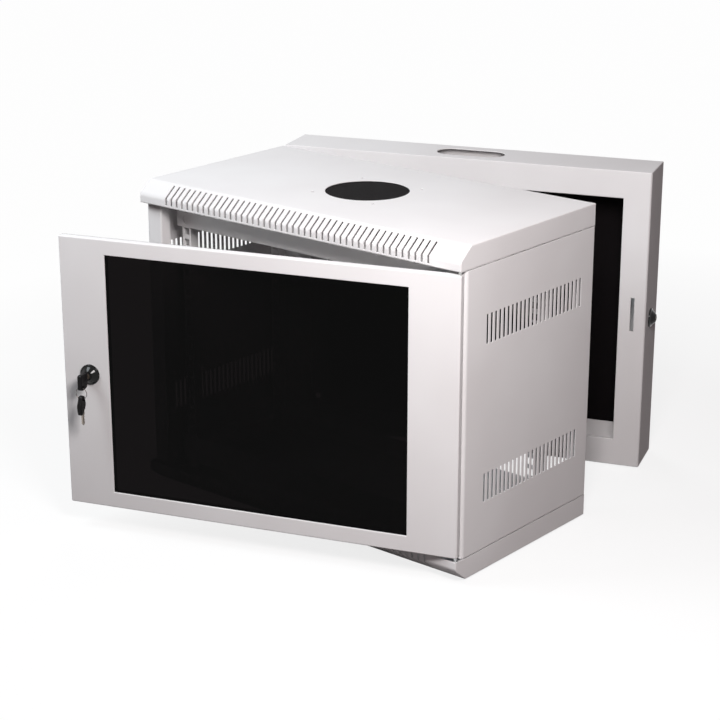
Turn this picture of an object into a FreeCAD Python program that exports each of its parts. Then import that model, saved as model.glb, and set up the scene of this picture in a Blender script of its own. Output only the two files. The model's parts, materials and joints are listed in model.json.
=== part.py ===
import FreeCAD, Part
import os
import re
import Sketcher

# Double-section wall mount network cabinet for 19-inch equipment, 7 units high.
# A shallow wall section stays on the wall. The main section hangs on it at the left and swings
# away like a page, and a glazed door closes the main section at the front.
# Part frame: X right, Y towards the wall, Z up; origin at the centre of the four wall fixing
# holes, on the face that lies against the wall.

document = FreeCAD.newDocument("wall_network_cabinet")
Vector = FreeCAD.Vector
Placement = FreeCAD.Placement
Rotation = FreeCAD.Rotation

# ---------------------------------------------------------------- driving sizes (mm, degrees)
DRIVING = [
    ("cabinet_width", "556", "outside width of both sections"),
    ("cabinet_height", "445", "outside height of both sections"),
    ("main_depth", "296", "depth of the main section"),
    ("wall_depth", "80", "depth of the wall section"),
    ("section_gap", "6", "closed gap between the two sections"),
    ("body_sheet", "1.2", "sheet of covers, side panels and door"),
    ("frame_sheet", "1.5", "sheet of rails, cross bars and wall frame"),
    ("swing_open", "20", "angle at which the main section stands open"),
    ("door_open", "19.4", "angle at which the door stands open"),
    ("skirt_height", "30", "height of the covers' lip and cheeks"),
    ("bevel_depth", "21", "depth of the covers' front bevel"),
    ("bevel_drop", "17", "height of the covers' front bevel"),
    ("cover_fold", "4", "outside radius of the fold at the top of the bevel"),
    ("vent_count", "46", "slots across the bevel"),
    ("vent_pitch", "10.1", "spacing of the bevel slots"),
    ("vent_width", "3", "width of a bevel slot"),
    ("vent_reach", "17.5", "how far back on the bevel a slot runs"),
    ("vent_land", "3", "metal left below a slot on the lip"),
    ("fan_opening", "115", "diameter of the fan opening"),
    ("fan_pitch", "105", "square pattern of the fan screws"),
    ("fan_hole", "4.5", "diameter of a fan screw hole"),
    ("mesh_sheet", "1", "thickness of the mesh under the fan opening"),
    ("mesh_side", "122", "side of the mesh plate"),
    ("mesh_bar", "2.5", "land between two mesh holes"),
    ("mesh_holes", "9", "holes along one side of the mesh"),
    ("seam", "0.6", "gap between a cover and a side panel"),
    ("front_setback", "12", "side panel front behind the covers' lip"),
    ("stile_width", "28", "front face of a side panel"),
    ("stile_return", "17", "depth of a front stile"),
    ("panel_fold", "5", "outside radius of the side panel's front fold"),
    ("rear_flange", "32", "rear flange of a side panel"),
    ("side_vent_count", "24", "slots in one row of a side panel"),
    ("side_vent_pitch", "9", "spacing of the side slots"),
    ("side_vent_width", "4", "width of a side slot"),
    ("side_vent_height", "39", "height of a side slot"),
    ("side_vent_start", "56", "first side slot from the front"),
    ("side_vent_margin", "96", "top of the upper row from the top"),
    ("rail_web", "24", "web height of the side rails"),
    ("rail_lip", "10", "lips of the side rails"),
    ("bar_setback", "42", "cross bars behind the covers' lip"),
    ("bar_height", "40", "height of the cross bars"),
    ("bar_flange", "16", "flange of the cross bars"),
    ("bar_lap", "7.8", "how far a cross bar laps over the side rails' front ends"),
    ("bar_hole", "13", "round hole near each end of a cross bar"),
    ("bar_hole_inset", "18", "round hole from the end of the cross bar"),
    ("unit_height", "44.45", "one rack unit"),
    ("unit_count", "7", "rack units"),
    ("rack_opening", "450", "clear width between the rack rails"),
    ("rack_face", "16", "width of a rack rail's face"),
    ("rack_hole_inset", "7.55", "square holes' centre line from the rack rail's edge"),
    ("rack_hole", "9.5", "side of a square rack hole"),
    ("rack_return", "30", "depth of a rack rail"),
    ("rear_rack_setback", "226", "rear rack rails behind the lip"),
    ("door_side_gap", "1.5", "door edge inside the cabinet's side"),
    ("door_gap", "4.5", "gap above and below the door"),
    ("door_depth", "10.5", "depth of the door frame"),
    ("pivot_inset", "5", "door pivot from side and front"),
    ("window_left", "66", "door frame left of the window"),
    ("window_right", "68", "door frame right of the window"),
    ("window_top", "21", "door frame above the window"),
    ("window_bottom", "22", "door frame below the window"),
    ("window_hem", "2.4", "folded edge round the window"),
    ("glass_thickness", "4", "smoked glass"),
    ("glass_lap", "12", "glass behind the door frame all round"),
    ("gasket_thickness", "1.5", "rubber strip between frame and glass"),
    ("gasket_width", "8", "width of the rubber strip"),
    ("retainer_width", "14", "glass retaining strips"),
    ("pin_diameter", "4", "door hinge pins"),
    ("pin_fit", "0.08", "radial play of pins and lock plugs"),
    ("bracket_sheet", "2", "door hinge brackets"),
    ("bracket_depth", "32", "depth of the door hinge brackets"),
    ("lock_inset", "38", "front lock from the door's free edge"),
    ("lock_disc", "28", "diameter of the lock's face"),
    ("lock_face", "9", "how far the lock's face stands out"),
    ("lock_barrel", "19", "diameter of the lock's threaded barrel"),
    ("barrel_length", "18.5", "length of the barrel from the sheet's face"),
    ("plug_diameter", "12", "diameter of the turning plug"),
    ("cam_sheet", "2.5", "thickness of the lock cams"),
    ("cam_width", "14", "width of the lock cams"),
    ("cam_reach", "23", "reach of the front lock's cam"),
    ("nut_width", "24", "across flats of the lock nut"),
    ("nut_height", "4", "height of the lock nut"),
    ("blade_sheet", "2.2", "thickness of a key blade"),
    ("blade_width", "7.5", "width of a key blade"),
    ("bow_sheet", "7", "thickness of a key's moulded bow"),
    ("bow_height", "22", "width of a key's bow"),
    ("bow_length", "19", "length of a key's bow"),
    ("bow_hole", "4.4", "hole in a key's bow"),
    ("ring_radius", "8", "centre line radius of the key ring"),
    ("ring_wire", "1.4", "wire of the key ring"),
    ("spare_length", "26", "length of the spare key's bow"),
    ("spare_blade", "16", "blade of the spare key"),
    ("wall_flange", "40", "front flange of the wall section"),
    ("wall_back_flange", "50", "rear flange of the wall section"),
    ("wall_hem", "6", "folded edge of the wall section's opening"),
    ("entry_length", "102", "length of the cable entry"),
    ("entry_width", "42", "width of the cable entry"),
    ("hook_slot_width", "5.5", "width of the hook slot"),
    ("hook_slot_above", "37", "hook slot above the side lock"),
    ("hook_slot_below", "13", "hook slot below the side lock"),
    ("side_lock_depth", "34.5", "side lock behind the wall section's front"),
    ("hook_reach", "47", "reach of the hook cam"),
    ("hook_drop", "5", "how far the hook reaches round the edge"),
    ("wall_hole_side", "20", "wall fixing holes from the side"),
    ("wall_hole_end", "22.5", "wall fixing holes from top and bottom"),
    ("wall_hole", "9", "diameter of a wall fixing hole"),
    ("back_panel_sheet", "1", "thickness of the back panel"),
    ("back_panel_lap", "12", "back panel over the rear flange"),
    ("hinge_leaf_sheet", "2", "thickness of the hinge leaves"),
    ("hinge_leaf_width", "32", "width of a hinge leaf"),
    ("hinge_height", "66", "height of a hinge"),
    ("hinge_knuckle", "8", "diameter of a hinge knuckle"),
    ("hinge_pin", "4.5", "diameter of a hinge pin"),
    ("hinge_inset", "60", "hinge centre from top and bottom"),
    ("leaf_gap", "1.5", "flat of a leaf clear of the other leaf's knuckle"),
    ("stud_diameter", "6", "earth stud"),
    ("stud_side", "33", "earth stud from the side rail"),
    ("stud_rear", "30", "earth stud from the rear"),
    ("bumper_diameter", "8", "rubber bumpers of the door"),
    ("panel_screw", "7", "head diameter of the back panel's screws"),
]

# ------------------------------------------------- sizes that follow from the driving ones
FOLLOWING = [
    ("half_width", "cabinet_width / 2"),
    ("half_height", "cabinet_height / 2"),
    ("clear_height", "cabinet_height - 2 * skirt_height"),
    ("panel_height", "clear_height - 2 * seam"),
    ("bevel_slope", "bevel_drop / bevel_depth"),
    ("bevel_stretch", "sqrt(1 + bevel_slope * bevel_slope)"),
    ("inner_bend", "bevel_slope * body_sheet - bevel_drop - body_sheet * bevel_stretch"),
    ("inner_back", "(bevel_drop - body_sheet + body_sheet * bevel_stretch) / bevel_slope"),
    ("fan_centre", "(bevel_depth + main_depth) / 2"),
    ("mesh_hole", "fan_opening / mesh_holes - mesh_bar"),
    ("stile_edge", "half_width - stile_width"),
    ("panel_inside", "half_width - body_sheet"),
    ("rail_face", "rack_opening / 2 + rack_face"),
    ("bar_end", "rail_face + bar_lap"),
    ("rack_column", "rack_opening / 2 + rack_hole_inset"),
    ("rack_height", "unit_height * unit_count"),
    ("bar_edge", "(cabinet_height - rack_height) / 2"),
    ("rack_front", "bar_setback + frame_sheet"),
    ("rack_bottom", "skirt_height - rail_web / 2"),
    ("door_edge", "half_width - door_side_gap"),
    ("door_bottom", "skirt_height + door_gap"),
    ("door_top", "cabinet_height - door_bottom"),
    ("door_height", "door_top - door_bottom"),
    ("glass_left", "door_edge - window_left + glass_lap"),
    ("glass_right", "door_edge - window_right + glass_lap"),
    ("glass_top", "door_top - window_top + glass_lap"),
    ("glass_bottom", "door_bottom + window_bottom - glass_lap"),
    ("glass_front", "body_sheet + gasket_thickness"),
    ("glass_back", "glass_front + glass_thickness"),
    ("pivot_side", "half_width - pivot_inset"),
    ("bore_radius", "plug_diameter / 2 + pin_fit"),
    ("plug_end", "barrel_length"),
    ("cam_front", "plug_end + pin_fit"),
    ("cam_back", "cam_front + cam_sheet"),
    ("wall_inside_x", "half_width - frame_sheet"),
    ("wall_inside_z", "half_height - frame_sheet"),
    ("opening_x", "half_width - wall_flange"),
    ("opening_z", "half_height - wall_flange"),
    ("back_panel_x", "half_width - wall_back_flange + back_panel_lap"),
    ("back_panel_z", "half_height - wall_back_flange + back_panel_lap"),
    ("hook_slot_x", "half_width - cam_front - cam_sheet / 2"),
    ("ring_y", "-lock_face - 3 - bow_length + bow_hole"),
    ("ring_z", "-bow_height * 0.45"),
    ("spare_z", "ring_z - 2 * ring_radius"),
    ("spare_slope", "(0.65 * spare_length - 4.5) / 10"),
    ("lock_line", "wall_depth - side_lock_depth"),
    ("stud_x", "rail_face - stud_side"),
    ("stud_y", "main_depth - stud_rear"),
    ("wall_hole_x", "half_width - wall_hole_side"),
    ("wall_hole_z", "half_height - wall_hole_end"),
    ("swing_x", "half_width + hinge_knuckle / 2"),
    ("swing_y", "wall_depth + section_gap / 2"),
    ("main_front", "wall_depth + section_gap + main_depth"),
]

sizes = document.addObject("Spreadsheet::Sheet", "Sizes")
for number, (alias, value, meaning) in enumerate(DRIVING, start=1):
    sizes.set("A%d" % number, alias)
    sizes.set("B%d" % number, value)
    sizes.set("C%d" % number, meaning)
    sizes.setAlias("B%d" % number, alias)
document.recompute()

home = {alias: "Sizes." + alias for alias, value, meaning in DRIVING}


def rule(text):
    """A rule written with the sizes' plain names, spelled for FreeCAD's expressions."""
    return re.sub(r"[a-z][a-z_]+", lambda word: home.get(word[0], word[0]), text)


follows = document.addObject("Spreadsheet::Sheet", "Follows")
for number, (alias, text) in enumerate(FOLLOWING, start=1):
    follows.set("A%d" % number, alias)
    follows.set("B%d" % number, "=" + rule(text))
    follows.setAlias("B%d" % number, alias)
    home[alias] = "Follows." + alias
document.recompute()

size = {alias: float(getattr(sizes, alias)) for alias, value, meaning in DRIVING}
size.update({alias: float(getattr(follows, alias)) for alias, text in FOLLOWING})

# ---------------------------------------------------------------- frames of the sections
Z_AXIS = Vector(0, 0, 1)
# The main section's own frame: origin at the bottom of its front, middle of the width.
closed_main = Placement(Vector(0, -size["main_front"], -size["half_height"]), Rotation())
swing = Placement(Vector(), Rotation(Z_AXIS, -size["swing_open"]),
                  Vector(-size["swing_x"], -size["swing_y"], 0))
main_frame = swing * closed_main
# The door is drawn closed in the main section's frame and then turned about its pins.
door_frame = main_frame * Placement(Vector(), Rotation(Z_AXIS, size["door_open"]),
                                    Vector(size["pivot_side"], size["pivot_inset"], 0))
wall_frame = Placement()
# A lock's frame: origin on the outer face of the sheet, its key pointing to -Y.
front_lock_frame = door_frame * Placement(
    Vector(size["lock_inset"] - size["door_edge"], 0, size["half_height"]), Rotation())
side_lock_frame = Placement(Vector(size["half_width"], -size["lock_line"], 0), Rotation(Z_AXIS, 90))

pieces = []


def piece(solid, label, frame, offset=Placement()):
    """Names a finished sub-part, puts it in its section and lists it for export."""
    solid.Label = label
    solid.Placement = frame * offset
    pieces.append(solid)
    return solid


# ---------------------------------------------------------------- part design helpers
def new_body(name):
    return document.addObject("PartDesign::Body", name)


def origin_item(body, role):
    return [item for item in body.Origin.OriginFeatures if item.Role == role][0]


def plane_sketch(body, role, depth="0"):
    """A sketch on one of the body's origin planes, moved along the plane's normal."""
    sketch = body.newObject("Sketcher::SketchObject", body.Name + "_sketch")
    sketch.AttachmentSupport = [(origin_item(body, role), "")]
    sketch.MapMode = "FlatFace"
    sketch.setExpression("AttachmentOffset.Base.z", rule(depth))
    return sketch


def bind(sketch, kind, geometry, point, text):
    """Ties one coordinate of a point, or one radius, to a rule."""
    if kind == "Radius":
        index = sketch.addConstraint(Sketcher.Constraint(kind, geometry, 1.0))
    else:
        index = sketch.addConstraint(Sketcher.Constraint(kind, -1, 1, geometry, point, 1.0))
    sketch.setExpression("Constraints[%d]" % index, rule(text))


def draw_outline(sketch, corners):
    """A closed outline of straight lines, every corner tied to its two rules."""
    first = sketch.GeometryCount
    count = len(corners)
    for step in range(count):
        start = Vector(step, step * step, 0)
        end = Vector(step + 1, (step + 1) * (step + 1), 0)
        sketch.addGeometry(Part.LineSegment(start, end))
    for step in range(count):
        after = (step + 1) % count
        sketch.addConstraint(Sketcher.Constraint("Coincident", first + step, 2, first + after, 1))
    for step, (across, along) in enumerate(corners):
        bind(sketch, "DistanceX", first + step, 1, across)
        bind(sketch, "DistanceY", first + step, 1, along)
    return sketch


def draw_rectangle(sketch, left, low, right, high):
    return draw_outline(sketch, [(left, low), (right, low), (right, high), (left, high)])


def draw_circle(sketch, across, along, radius):
    index = sketch.addGeometry(Part.Circle(Vector(1, 1, 0), Vector(0, 0, 1), 1.0))
    bind(sketch, "DistanceX", index, 3, across)
    bind(sketch, "DistanceY", index, 3, along)
    bind(sketch, "Radius", index, 0, radius)
    return sketch


def sweep(body, kind, sketch, length, both=False, back=False):
    """A Pad or Pocket of a sketch; with no length it goes through everything."""
    feature = body.newObject("PartDesign::" + kind, body.Name + "_" + kind.lower())
    feature.Profile = sketch
    if length is None:
        feature.Type = "ThroughAll"
    else:
        feature.setExpression("Length", rule(length))
    feature.SideType = "Symmetric" if both else "One side"
    feature.Reversed = back
    body.Tip = feature
    return feature


def repeat(body, feature, role, pitch, count):
    """Copies of a cut along an axis of the body."""
    pattern = body.newObject("PartDesign::LinearPattern", body.Name + "_row")
    pattern.Originals = [feature]
    pattern.Direction = (origin_item(body, role), [""])
    pattern.setExpression("Length", rule("(%s) * (%s - 1)" % (pitch, count)))
    pattern.setExpression("Occurrences", rule(count))
    body.Tip = pattern
    return pattern


def edge_names(shape, spots):
    """Names of the edges that pass through the given points."""
    names = []
    for number, edge in enumerate(shape.Edges, start=1):
        for spot in spots:
            if edge.distToShape(Part.Vertex(spot))[0] < 1e-4:
                names.append("Edge%d" % number)
                break
    return names


def round_edges(body, radius, spots):
    """Rounds the edges of the body's last feature that pass through the given points."""
    document.recompute()
    base = body.Tip
    fillet = body.newObject("PartDesign::Fillet", body.Name + "_fold")
    fillet.Base = (base, edge_names(base.Shape, spots))
    fillet.setExpression("Radius", rule(radius))
    body.Tip = fillet
    return fillet


def cut_obround(body, role, depth, across, along, length, width, through):
    """A slot with round ends along the sketch's first axis."""
    ends = plane_sketch(body, role, depth)
    for turn in ("-", "+"):
        draw_circle(ends, "%s %s (%s - %s) / 2" % (across, turn, length, width), along, width + " / 2")
    sweep(body, "Pocket", ends, through, both=True)
    middle = plane_sketch(body, role, depth)
    draw_rectangle(middle, "%s - (%s - %s) / 2" % (across, length, width), "%s - %s / 2" % (along, width),
                   "%s + (%s - %s) / 2" % (across, length, width), "%s + %s / 2" % (along, width))
    sweep(body, "Pocket", middle, through, both=True)


def plate(label, frame, corners, front, thickness, offset=Placement()):
    """A flat upright sheet: left, low, right and high edges, its front face and its thickness."""
    body = new_body(label)
    outline = plane_sketch(body, "XZ_Plane", "-(%s)" % front)
    draw_rectangle(outline, *corners)
    sweep(body, "Pad", outline, thickness, back=True)
    return piece(body, label, frame, offset)


# ---------------------------------------------------------------- primitive helpers
def place_by_rules(solid, x, y, z):
    for axis, text in zip("xyz", (x, y, z)):
        solid.setExpression("Placement.Base." + axis, rule(text))


def box(length, width, height, x="0", y="0", z="0"):
    solid = document.addObject("Part::Box", "box")
    solid.setExpression("Length", rule(length))
    solid.setExpression("Width", rule(width))
    solid.setExpression("Height", rule(height))
    place_by_rules(solid, x, y, z)
    return solid


AIM = {"x": Rotation(Vector(0, 1, 0), 90), "y": Rotation(Vector(1, 0, 0), -90), "z": Rotation()}


def rod(radius, height, axis, x="0", y="0", z="0"):
    """A cylinder that starts at a point and runs along an axis."""
    solid = document.addObject("Part::Cylinder", "rod")
    solid.setExpression("Radius", rule(radius))
    solid.setExpression("Height", rule(height))
    solid.Placement.Rotation = AIM[axis]
    place_by_rules(solid, x, y, z)
    return solid


def union(solids):
    joined = document.addObject("Part::MultiFuse", "union")
    joined.Shapes = solids
    joined.Refine = True
    return joined


def minus(base, tool):
    cut = document.addObject("Part::Cut", "minus")
    cut.Base = base
    cut.Tool = tool
    return cut


def group(solids):
    """Separate like solids kept in one sub-part."""
    together = document.addObject("Part::Compound", "group")
    together.Links = solids
    return together


def toward(sign, text):
    """A rule mirrored to the left side when the sign is -1."""
    return text if sign > 0 else "-(%s)" % text


SIDES = (("left", -1), ("right", 1))
LEVELS = (("lower", -1), ("upper", 1))


def level_z(sign, text):
    """A height measured up from the bottom, or the same measured down from the top."""
    return text if sign < 0 else "cabinet_height - (%s)" % text


# ---------------------------------------------------------------- covers
def cover(label, frame_offset, with_fan):
    """Folded cover: flat top, bevelled front, lip, cheeks and rear skirt, slots over the fold."""
    body = new_body(label)
    outside = plane_sketch(body, "YZ_Plane")
    draw_outline(outside, [("0", "-skirt_height"), ("0", "-bevel_drop"), ("bevel_depth", "0"),
                           ("main_depth", "0"), ("main_depth", "-skirt_height")])
    sweep(body, "Pad", outside, "cabinet_width", both=True)
    inside = plane_sketch(body, "YZ_Plane")
    draw_outline(inside, [("body_sheet", "-skirt_height"), ("body_sheet", "inner_bend"),
                          ("inner_back", "-body_sheet"), ("main_depth - body_sheet", "-body_sheet"),
                          ("main_depth - body_sheet", "-skirt_height")])
    sweep(body, "Pocket", inside, "cabinet_width - 2 * body_sheet", both=True)
    round_edges(body, "cover_fold", [Vector(0, size["bevel_depth"], 0)])
    # One slot runs over the lip's fold: cut square to the bevel at its top, flat at its bottom.
    slot = plane_sketch(body, "YZ_Plane", "-vent_pitch * (vent_count - 1) / 2")
    end_z = "bevel_slope * vent_reach - bevel_drop"
    lean = "2 * body_sheet * bevel_slope / bevel_stretch"
    rise = "2 * body_sheet / bevel_stretch"
    draw_outline(slot, [("-body_sheet", "vent_land - skirt_height"),
                        ("3 * body_sheet", "vent_land - skirt_height"),
                        ("vent_reach + " + lean, end_z + " - " + rise),
                        ("vent_reach - " + lean, end_z + " + " + rise),
                        ("-body_sheet", "-bevel_drop + body_sheet")])
    first = sweep(body, "Pocket", slot, "vent_width", both=True)
    repeat(body, first, "X_Axis", "vent_pitch", "vent_count")
    if with_fan:
        holes = plane_sketch(body, "XY_Plane")
        draw_circle(holes, "0", "fan_centre", "fan_opening / 2")
        for across in ("-fan_pitch / 2", "fan_pitch / 2"):
            for along in ("fan_centre - fan_pitch / 2", "fan_centre + fan_pitch / 2"):
                draw_circle(holes, across, along, "fan_hole / 2")
        sweep(body, "Pocket", holes, None)
    return piece(body, label, main_frame, frame_offset)


cover("top_cover", Placement(Vector(0, 0, size["cabinet_height"]), Rotation()), True)
cover("bottom_cover", Placement(Vector(), Rotation(Vector(0, 1, 0), 180)), False)


# ---------------------------------------------------------------- side panels
def side_panel(side, sign):
    """One folded sheet: front stile with its return, side with two rows of slots, rear flange."""
    body = new_body(side + "_side_panel")
    profile = plane_sketch(body, "XY_Plane", "skirt_height + seam")
    path = [("stile_edge", "front_setback"), ("half_width", "front_setback"),
            ("half_width", "main_depth"), ("half_width - rear_flange", "main_depth"),
            ("half_width - rear_flange", "main_depth - body_sheet"),
            ("panel_inside", "main_depth - body_sheet"),
            ("panel_inside", "front_setback + body_sheet"),
            ("stile_edge + body_sheet", "front_setback + body_sheet"),
            ("stile_edge + body_sheet", "front_setback + stile_return"),
            ("stile_edge", "front_setback + stile_return")]
    draw_outline(profile, [(toward(sign, across), along) for across, along in path])
    sweep(body, "Pad", profile, "panel_height")
    middle = size["half_height"]
    front = size["front_setback"]
    sheet = size["body_sheet"]
    round_edges(body, "panel_fold", [Vector(sign * size["half_width"], front, middle)])
    round_edges(body, "panel_fold - body_sheet",
                [Vector(sign * size["panel_inside"], front + sheet, middle)])
    round_edges(body, "2 * body_sheet", [Vector(sign * size["stile_edge"], front, middle),
                                         Vector(sign * size["half_width"], size["main_depth"], middle)])
    round_edges(body, "body_sheet",
                [Vector(sign * (size["stile_edge"] + sheet), front + sheet, middle),
                 Vector(sign * size["panel_inside"], size["main_depth"] - sheet, middle)])
    slots = plane_sketch(body, "YZ_Plane", toward(sign, "half_width"))
    for level, direction in LEVELS:
        draw_rectangle(slots, "side_vent_start", level_z(direction, "side_vent_margin"),
                       "side_vent_start + side_vent_width",
                       level_z(direction, "side_vent_margin + side_vent_height"))
    first = sweep(body, "Pocket", slots, "4 * body_sheet", both=True)
    repeat(body, first, "Y_Axis", "side_vent_pitch", "side_vent_count")
    if sign < 0:
        # Notch in the stile's return for the cam of the front lock.
        notch = plane_sketch(body, "YZ_Plane", "-stile_edge")
        draw_rectangle(notch, "cam_front - 2", "half_height - cam_reach - 2",
                       "front_setback + stile_return + 1", "half_height + cam_width")
        sweep(body, "Pocket", notch, "4 * body_sheet", both=True)
    else:
        # Slot in the rear flange that the hook of the side lock grips.
        catch = plane_sketch(body, "XZ_Plane", "-main_depth")
        draw_rectangle(catch, "hook_slot_x - hook_slot_width / 2",
                       "half_height - hook_slot_below + hook_drop",
                       "hook_slot_x + hook_slot_width / 2", "half_height + hook_slot_above")
        sweep(body, "Pocket", catch, "4 * body_sheet", both=True)
    return piece(body, side + "_side_panel", main_frame)


for side, sign in SIDES:
    side_panel(side, sign)


# ---------------------------------------------------------------- inner frame of the main section
def side_rail(side, sign, level, direction):
    """Hat-section rail: its lips tie a side panel to a cover, its web carries the rack rails."""
    label = "%s_%s_side_rail" % (level, side)
    body = new_body(label)
    centre = level_z(direction, "skirt_height")
    step = [("panel_inside", "rail_web / 2 + rail_lip"),
            ("panel_inside - frame_sheet", "rail_web / 2 + rail_lip"),
            ("panel_inside - frame_sheet", "rail_web / 2"), ("rail_face", "rail_web / 2"),
            ("rail_face", "-rail_web / 2"), ("panel_inside - frame_sheet", "-rail_web / 2"),
            ("panel_inside - frame_sheet", "-rail_web / 2 - rail_lip"),
            ("panel_inside", "-rail_web / 2 - rail_lip"),
            ("panel_inside", "frame_sheet - rail_web / 2"),
            ("rail_face + frame_sheet", "frame_sheet - rail_web / 2"),
            ("rail_face + frame_sheet", "rail_web / 2 - frame_sheet"),
            ("panel_inside", "rail_web / 2 - frame_sheet")]
    profile = plane_sketch(body, "XZ_Plane", "-rack_front")
    draw_outline(profile, [(toward(sign, across), centre + " + " + along) for across, along in step])
    sweep(body, "Pad", profile, "main_depth - 2 * body_sheet - rack_front", back=True)
    return piece(body, label, main_frame)


def cross_bar(level, direction):
    """Angle-section bar across the side rails' front ends, with a round hole near each end."""
    label = level + "_cross_bar"
    body = new_body(label)
    profile = plane_sketch(body, "YZ_Plane")
    inner = "bar_edge - bar_height"
    draw_outline(profile, [
        ("bar_setback", level_z(direction, "bar_edge")),
        ("bar_setback + frame_sheet", level_z(direction, "bar_edge")),
        ("bar_setback + frame_sheet", level_z(direction, inner + " + frame_sheet")),
        ("bar_setback + bar_flange", level_z(direction, inner + " + frame_sheet")),
        ("bar_setback + bar_flange", level_z(direction, inner)),
        ("bar_setback", level_z(direction, inner))])
    sweep(body, "Pad", profile, "2 * bar_end", both=True)
    # The flange stops short of the rails that stand behind the bar.
    relief = plane_sketch(body, "XY_Plane", level_z(direction, inner))
    for across, sign in SIDES:
        draw_rectangle(relief, toward(sign, "rack_opening / 2 - 1"), "rack_front",
                       toward(sign, "bar_end + 1"), "bar_setback + bar_flange + 1")
    sweep(body, "Pocket", relief, "4 * frame_sheet", both=True)
    holes = plane_sketch(body, "XZ_Plane", "-bar_setback")
    for side, sign in SIDES:
        draw_circle(holes, toward(sign, "bar_end - bar_hole_inset"),
                    level_z(direction, "bar_edge - 11"), "bar_hole / 2")
    sweep(body, "Pocket", holes, "4 * frame_sheet", both=True)
    return piece(body, label, main_frame)


def rack_rail(place, setback, side, sign):
    """19-inch rail: flat face with a column of square holes, three to a unit, and a return."""
    label = "%s_%s_rack_rail" % (place, side)
    body = new_body(label)
    profile = plane_sketch(body, "XY_Plane", "rack_bottom")
    path = [("rack_opening / 2", "0"), ("rail_face", "0"), ("rail_face", "rack_return"),
            ("rail_face - frame_sheet", "rack_return"),
            ("rail_face - frame_sheet", "frame_sheet"), ("rack_opening / 2", "frame_sheet")]
    draw_outline(profile, [(toward(sign, across), setback + " + " + along) for across, along in path])
    sweep(body, "Pad", profile, "cabinet_height - 2 * rack_bottom")
    first_unit = plane_sketch(body, "XZ_Plane", "-(%s)" % setback)
    for step in ("unit_height / 7", "unit_height / 2", "unit_height * 6 / 7"):
        draw_rectangle(first_unit, toward(sign, "rack_column - rack_hole / 2"),
                       "bar_edge + %s - rack_hole / 2" % step,
                       toward(sign, "rack_column + rack_hole / 2"),
                       "bar_edge + %s + rack_hole / 2" % step)
    holes = sweep(body, "Pocket", first_unit, "4 * frame_sheet", both=True)
    repeat(body, holes, "Z_Axis", "unit_height", "unit_count")
    return piece(body, label, main_frame)


for level, direction in LEVELS:
    cross_bar(level, direction)
    for side, sign in SIDES:
        side_rail(side, sign, level, direction)
for side, sign in SIDES:
    rack_rail("front", "rack_front", side, sign)
    rack_rail("rear", "rear_rack_setback", side, sign)

# Mesh plate welded under the fan opening, with the fan's four holes left free.
mesh = new_body("fan_mesh")
square = plane_sketch(mesh, "XY_Plane", "cabinet_height - body_sheet")
draw_rectangle(square, "-mesh_side / 2", "fan_centre - mesh_side / 2",
               "mesh_side / 2", "fan_centre + mesh_side / 2")
for across in ("-fan_pitch / 2", "fan_pitch / 2"):
    for along in ("fan_centre - fan_pitch / 2", "fan_centre + fan_pitch / 2"):
        draw_circle(square, across, along, "fan_hole / 2")
sweep(mesh, "Pad", square, "mesh_sheet", back=True)
first_row = plane_sketch(mesh, "XY_Plane", "cabinet_height - body_sheet")
for step in range(int(size["mesh_holes"])):
    start = "-fan_opening / 2 + mesh_bar / 2 + %d * fan_opening / mesh_holes" % step
    draw_rectangle(first_row, start, "fan_centre - fan_opening / 2 + mesh_bar / 2",
                   start + " + mesh_hole", "fan_centre - fan_opening / 2 + mesh_bar / 2 + mesh_hole")
row = sweep(mesh, "Pocket", first_row, "4 * mesh_sheet", both=True)
repeat(mesh, row, "Y_Axis", "fan_opening / mesh_holes", "mesh_holes")
piece(mesh, "fan_mesh", main_frame)

# Earth stud on the bottom cover with its washer and nut.
stud = rod("stud_diameter / 2", "20", "z", "stud_x", "stud_y", "body_sheet")
washer = rod("stud_diameter", "1.2", "z", "stud_x", "stud_y", "body_sheet")
nut = document.addObject("Part::Prism", "earth_nut")
nut.Polygon = 6
nut.setExpression("Circumradius", rule("stud_diameter * 0.96"))
nut.setExpression("Height", rule("stud_diameter * 0.8"))
place_by_rules(nut, "stud_x", "stud_y", "body_sheet + 1.2")
piece(union([stud, washer, nut]), "earth_stud", main_frame)


# ---------------------------------------------------------------- hinges between the sections
def leaf(direction, web_start, y_near, y_far, knuckles):
    """One leaf: outside plate, and knuckles joined to it by short webs, bored for the pin."""
    centre = toward(direction, "half_height - hinge_inset")
    low = centre + " - hinge_height / 2"
    bore = rod("hinge_pin / 2 + pin_fit", "2 * hinge_height", "z", "-swing_x", "-swing_y",
               centre + " - hinge_height")
    parts = [box("hinge_leaf_sheet", "(%s) - (%s)" % (y_far, y_near), "hinge_height",
                 "-half_width - hinge_leaf_sheet", y_near, low)]
    for start, span in knuckles:
        bottom = centre + " + " + start
        parts.append(box("hinge_leaf_sheet", "section_gap / 2 + leaf_gap", span,
                         "-half_width - hinge_leaf_sheet", web_start, bottom))
        parts.append(rod("hinge_knuckle / 2", span, "z", "-swing_x", "-swing_y", bottom))
    return minus(union(parts), bore)


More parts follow.
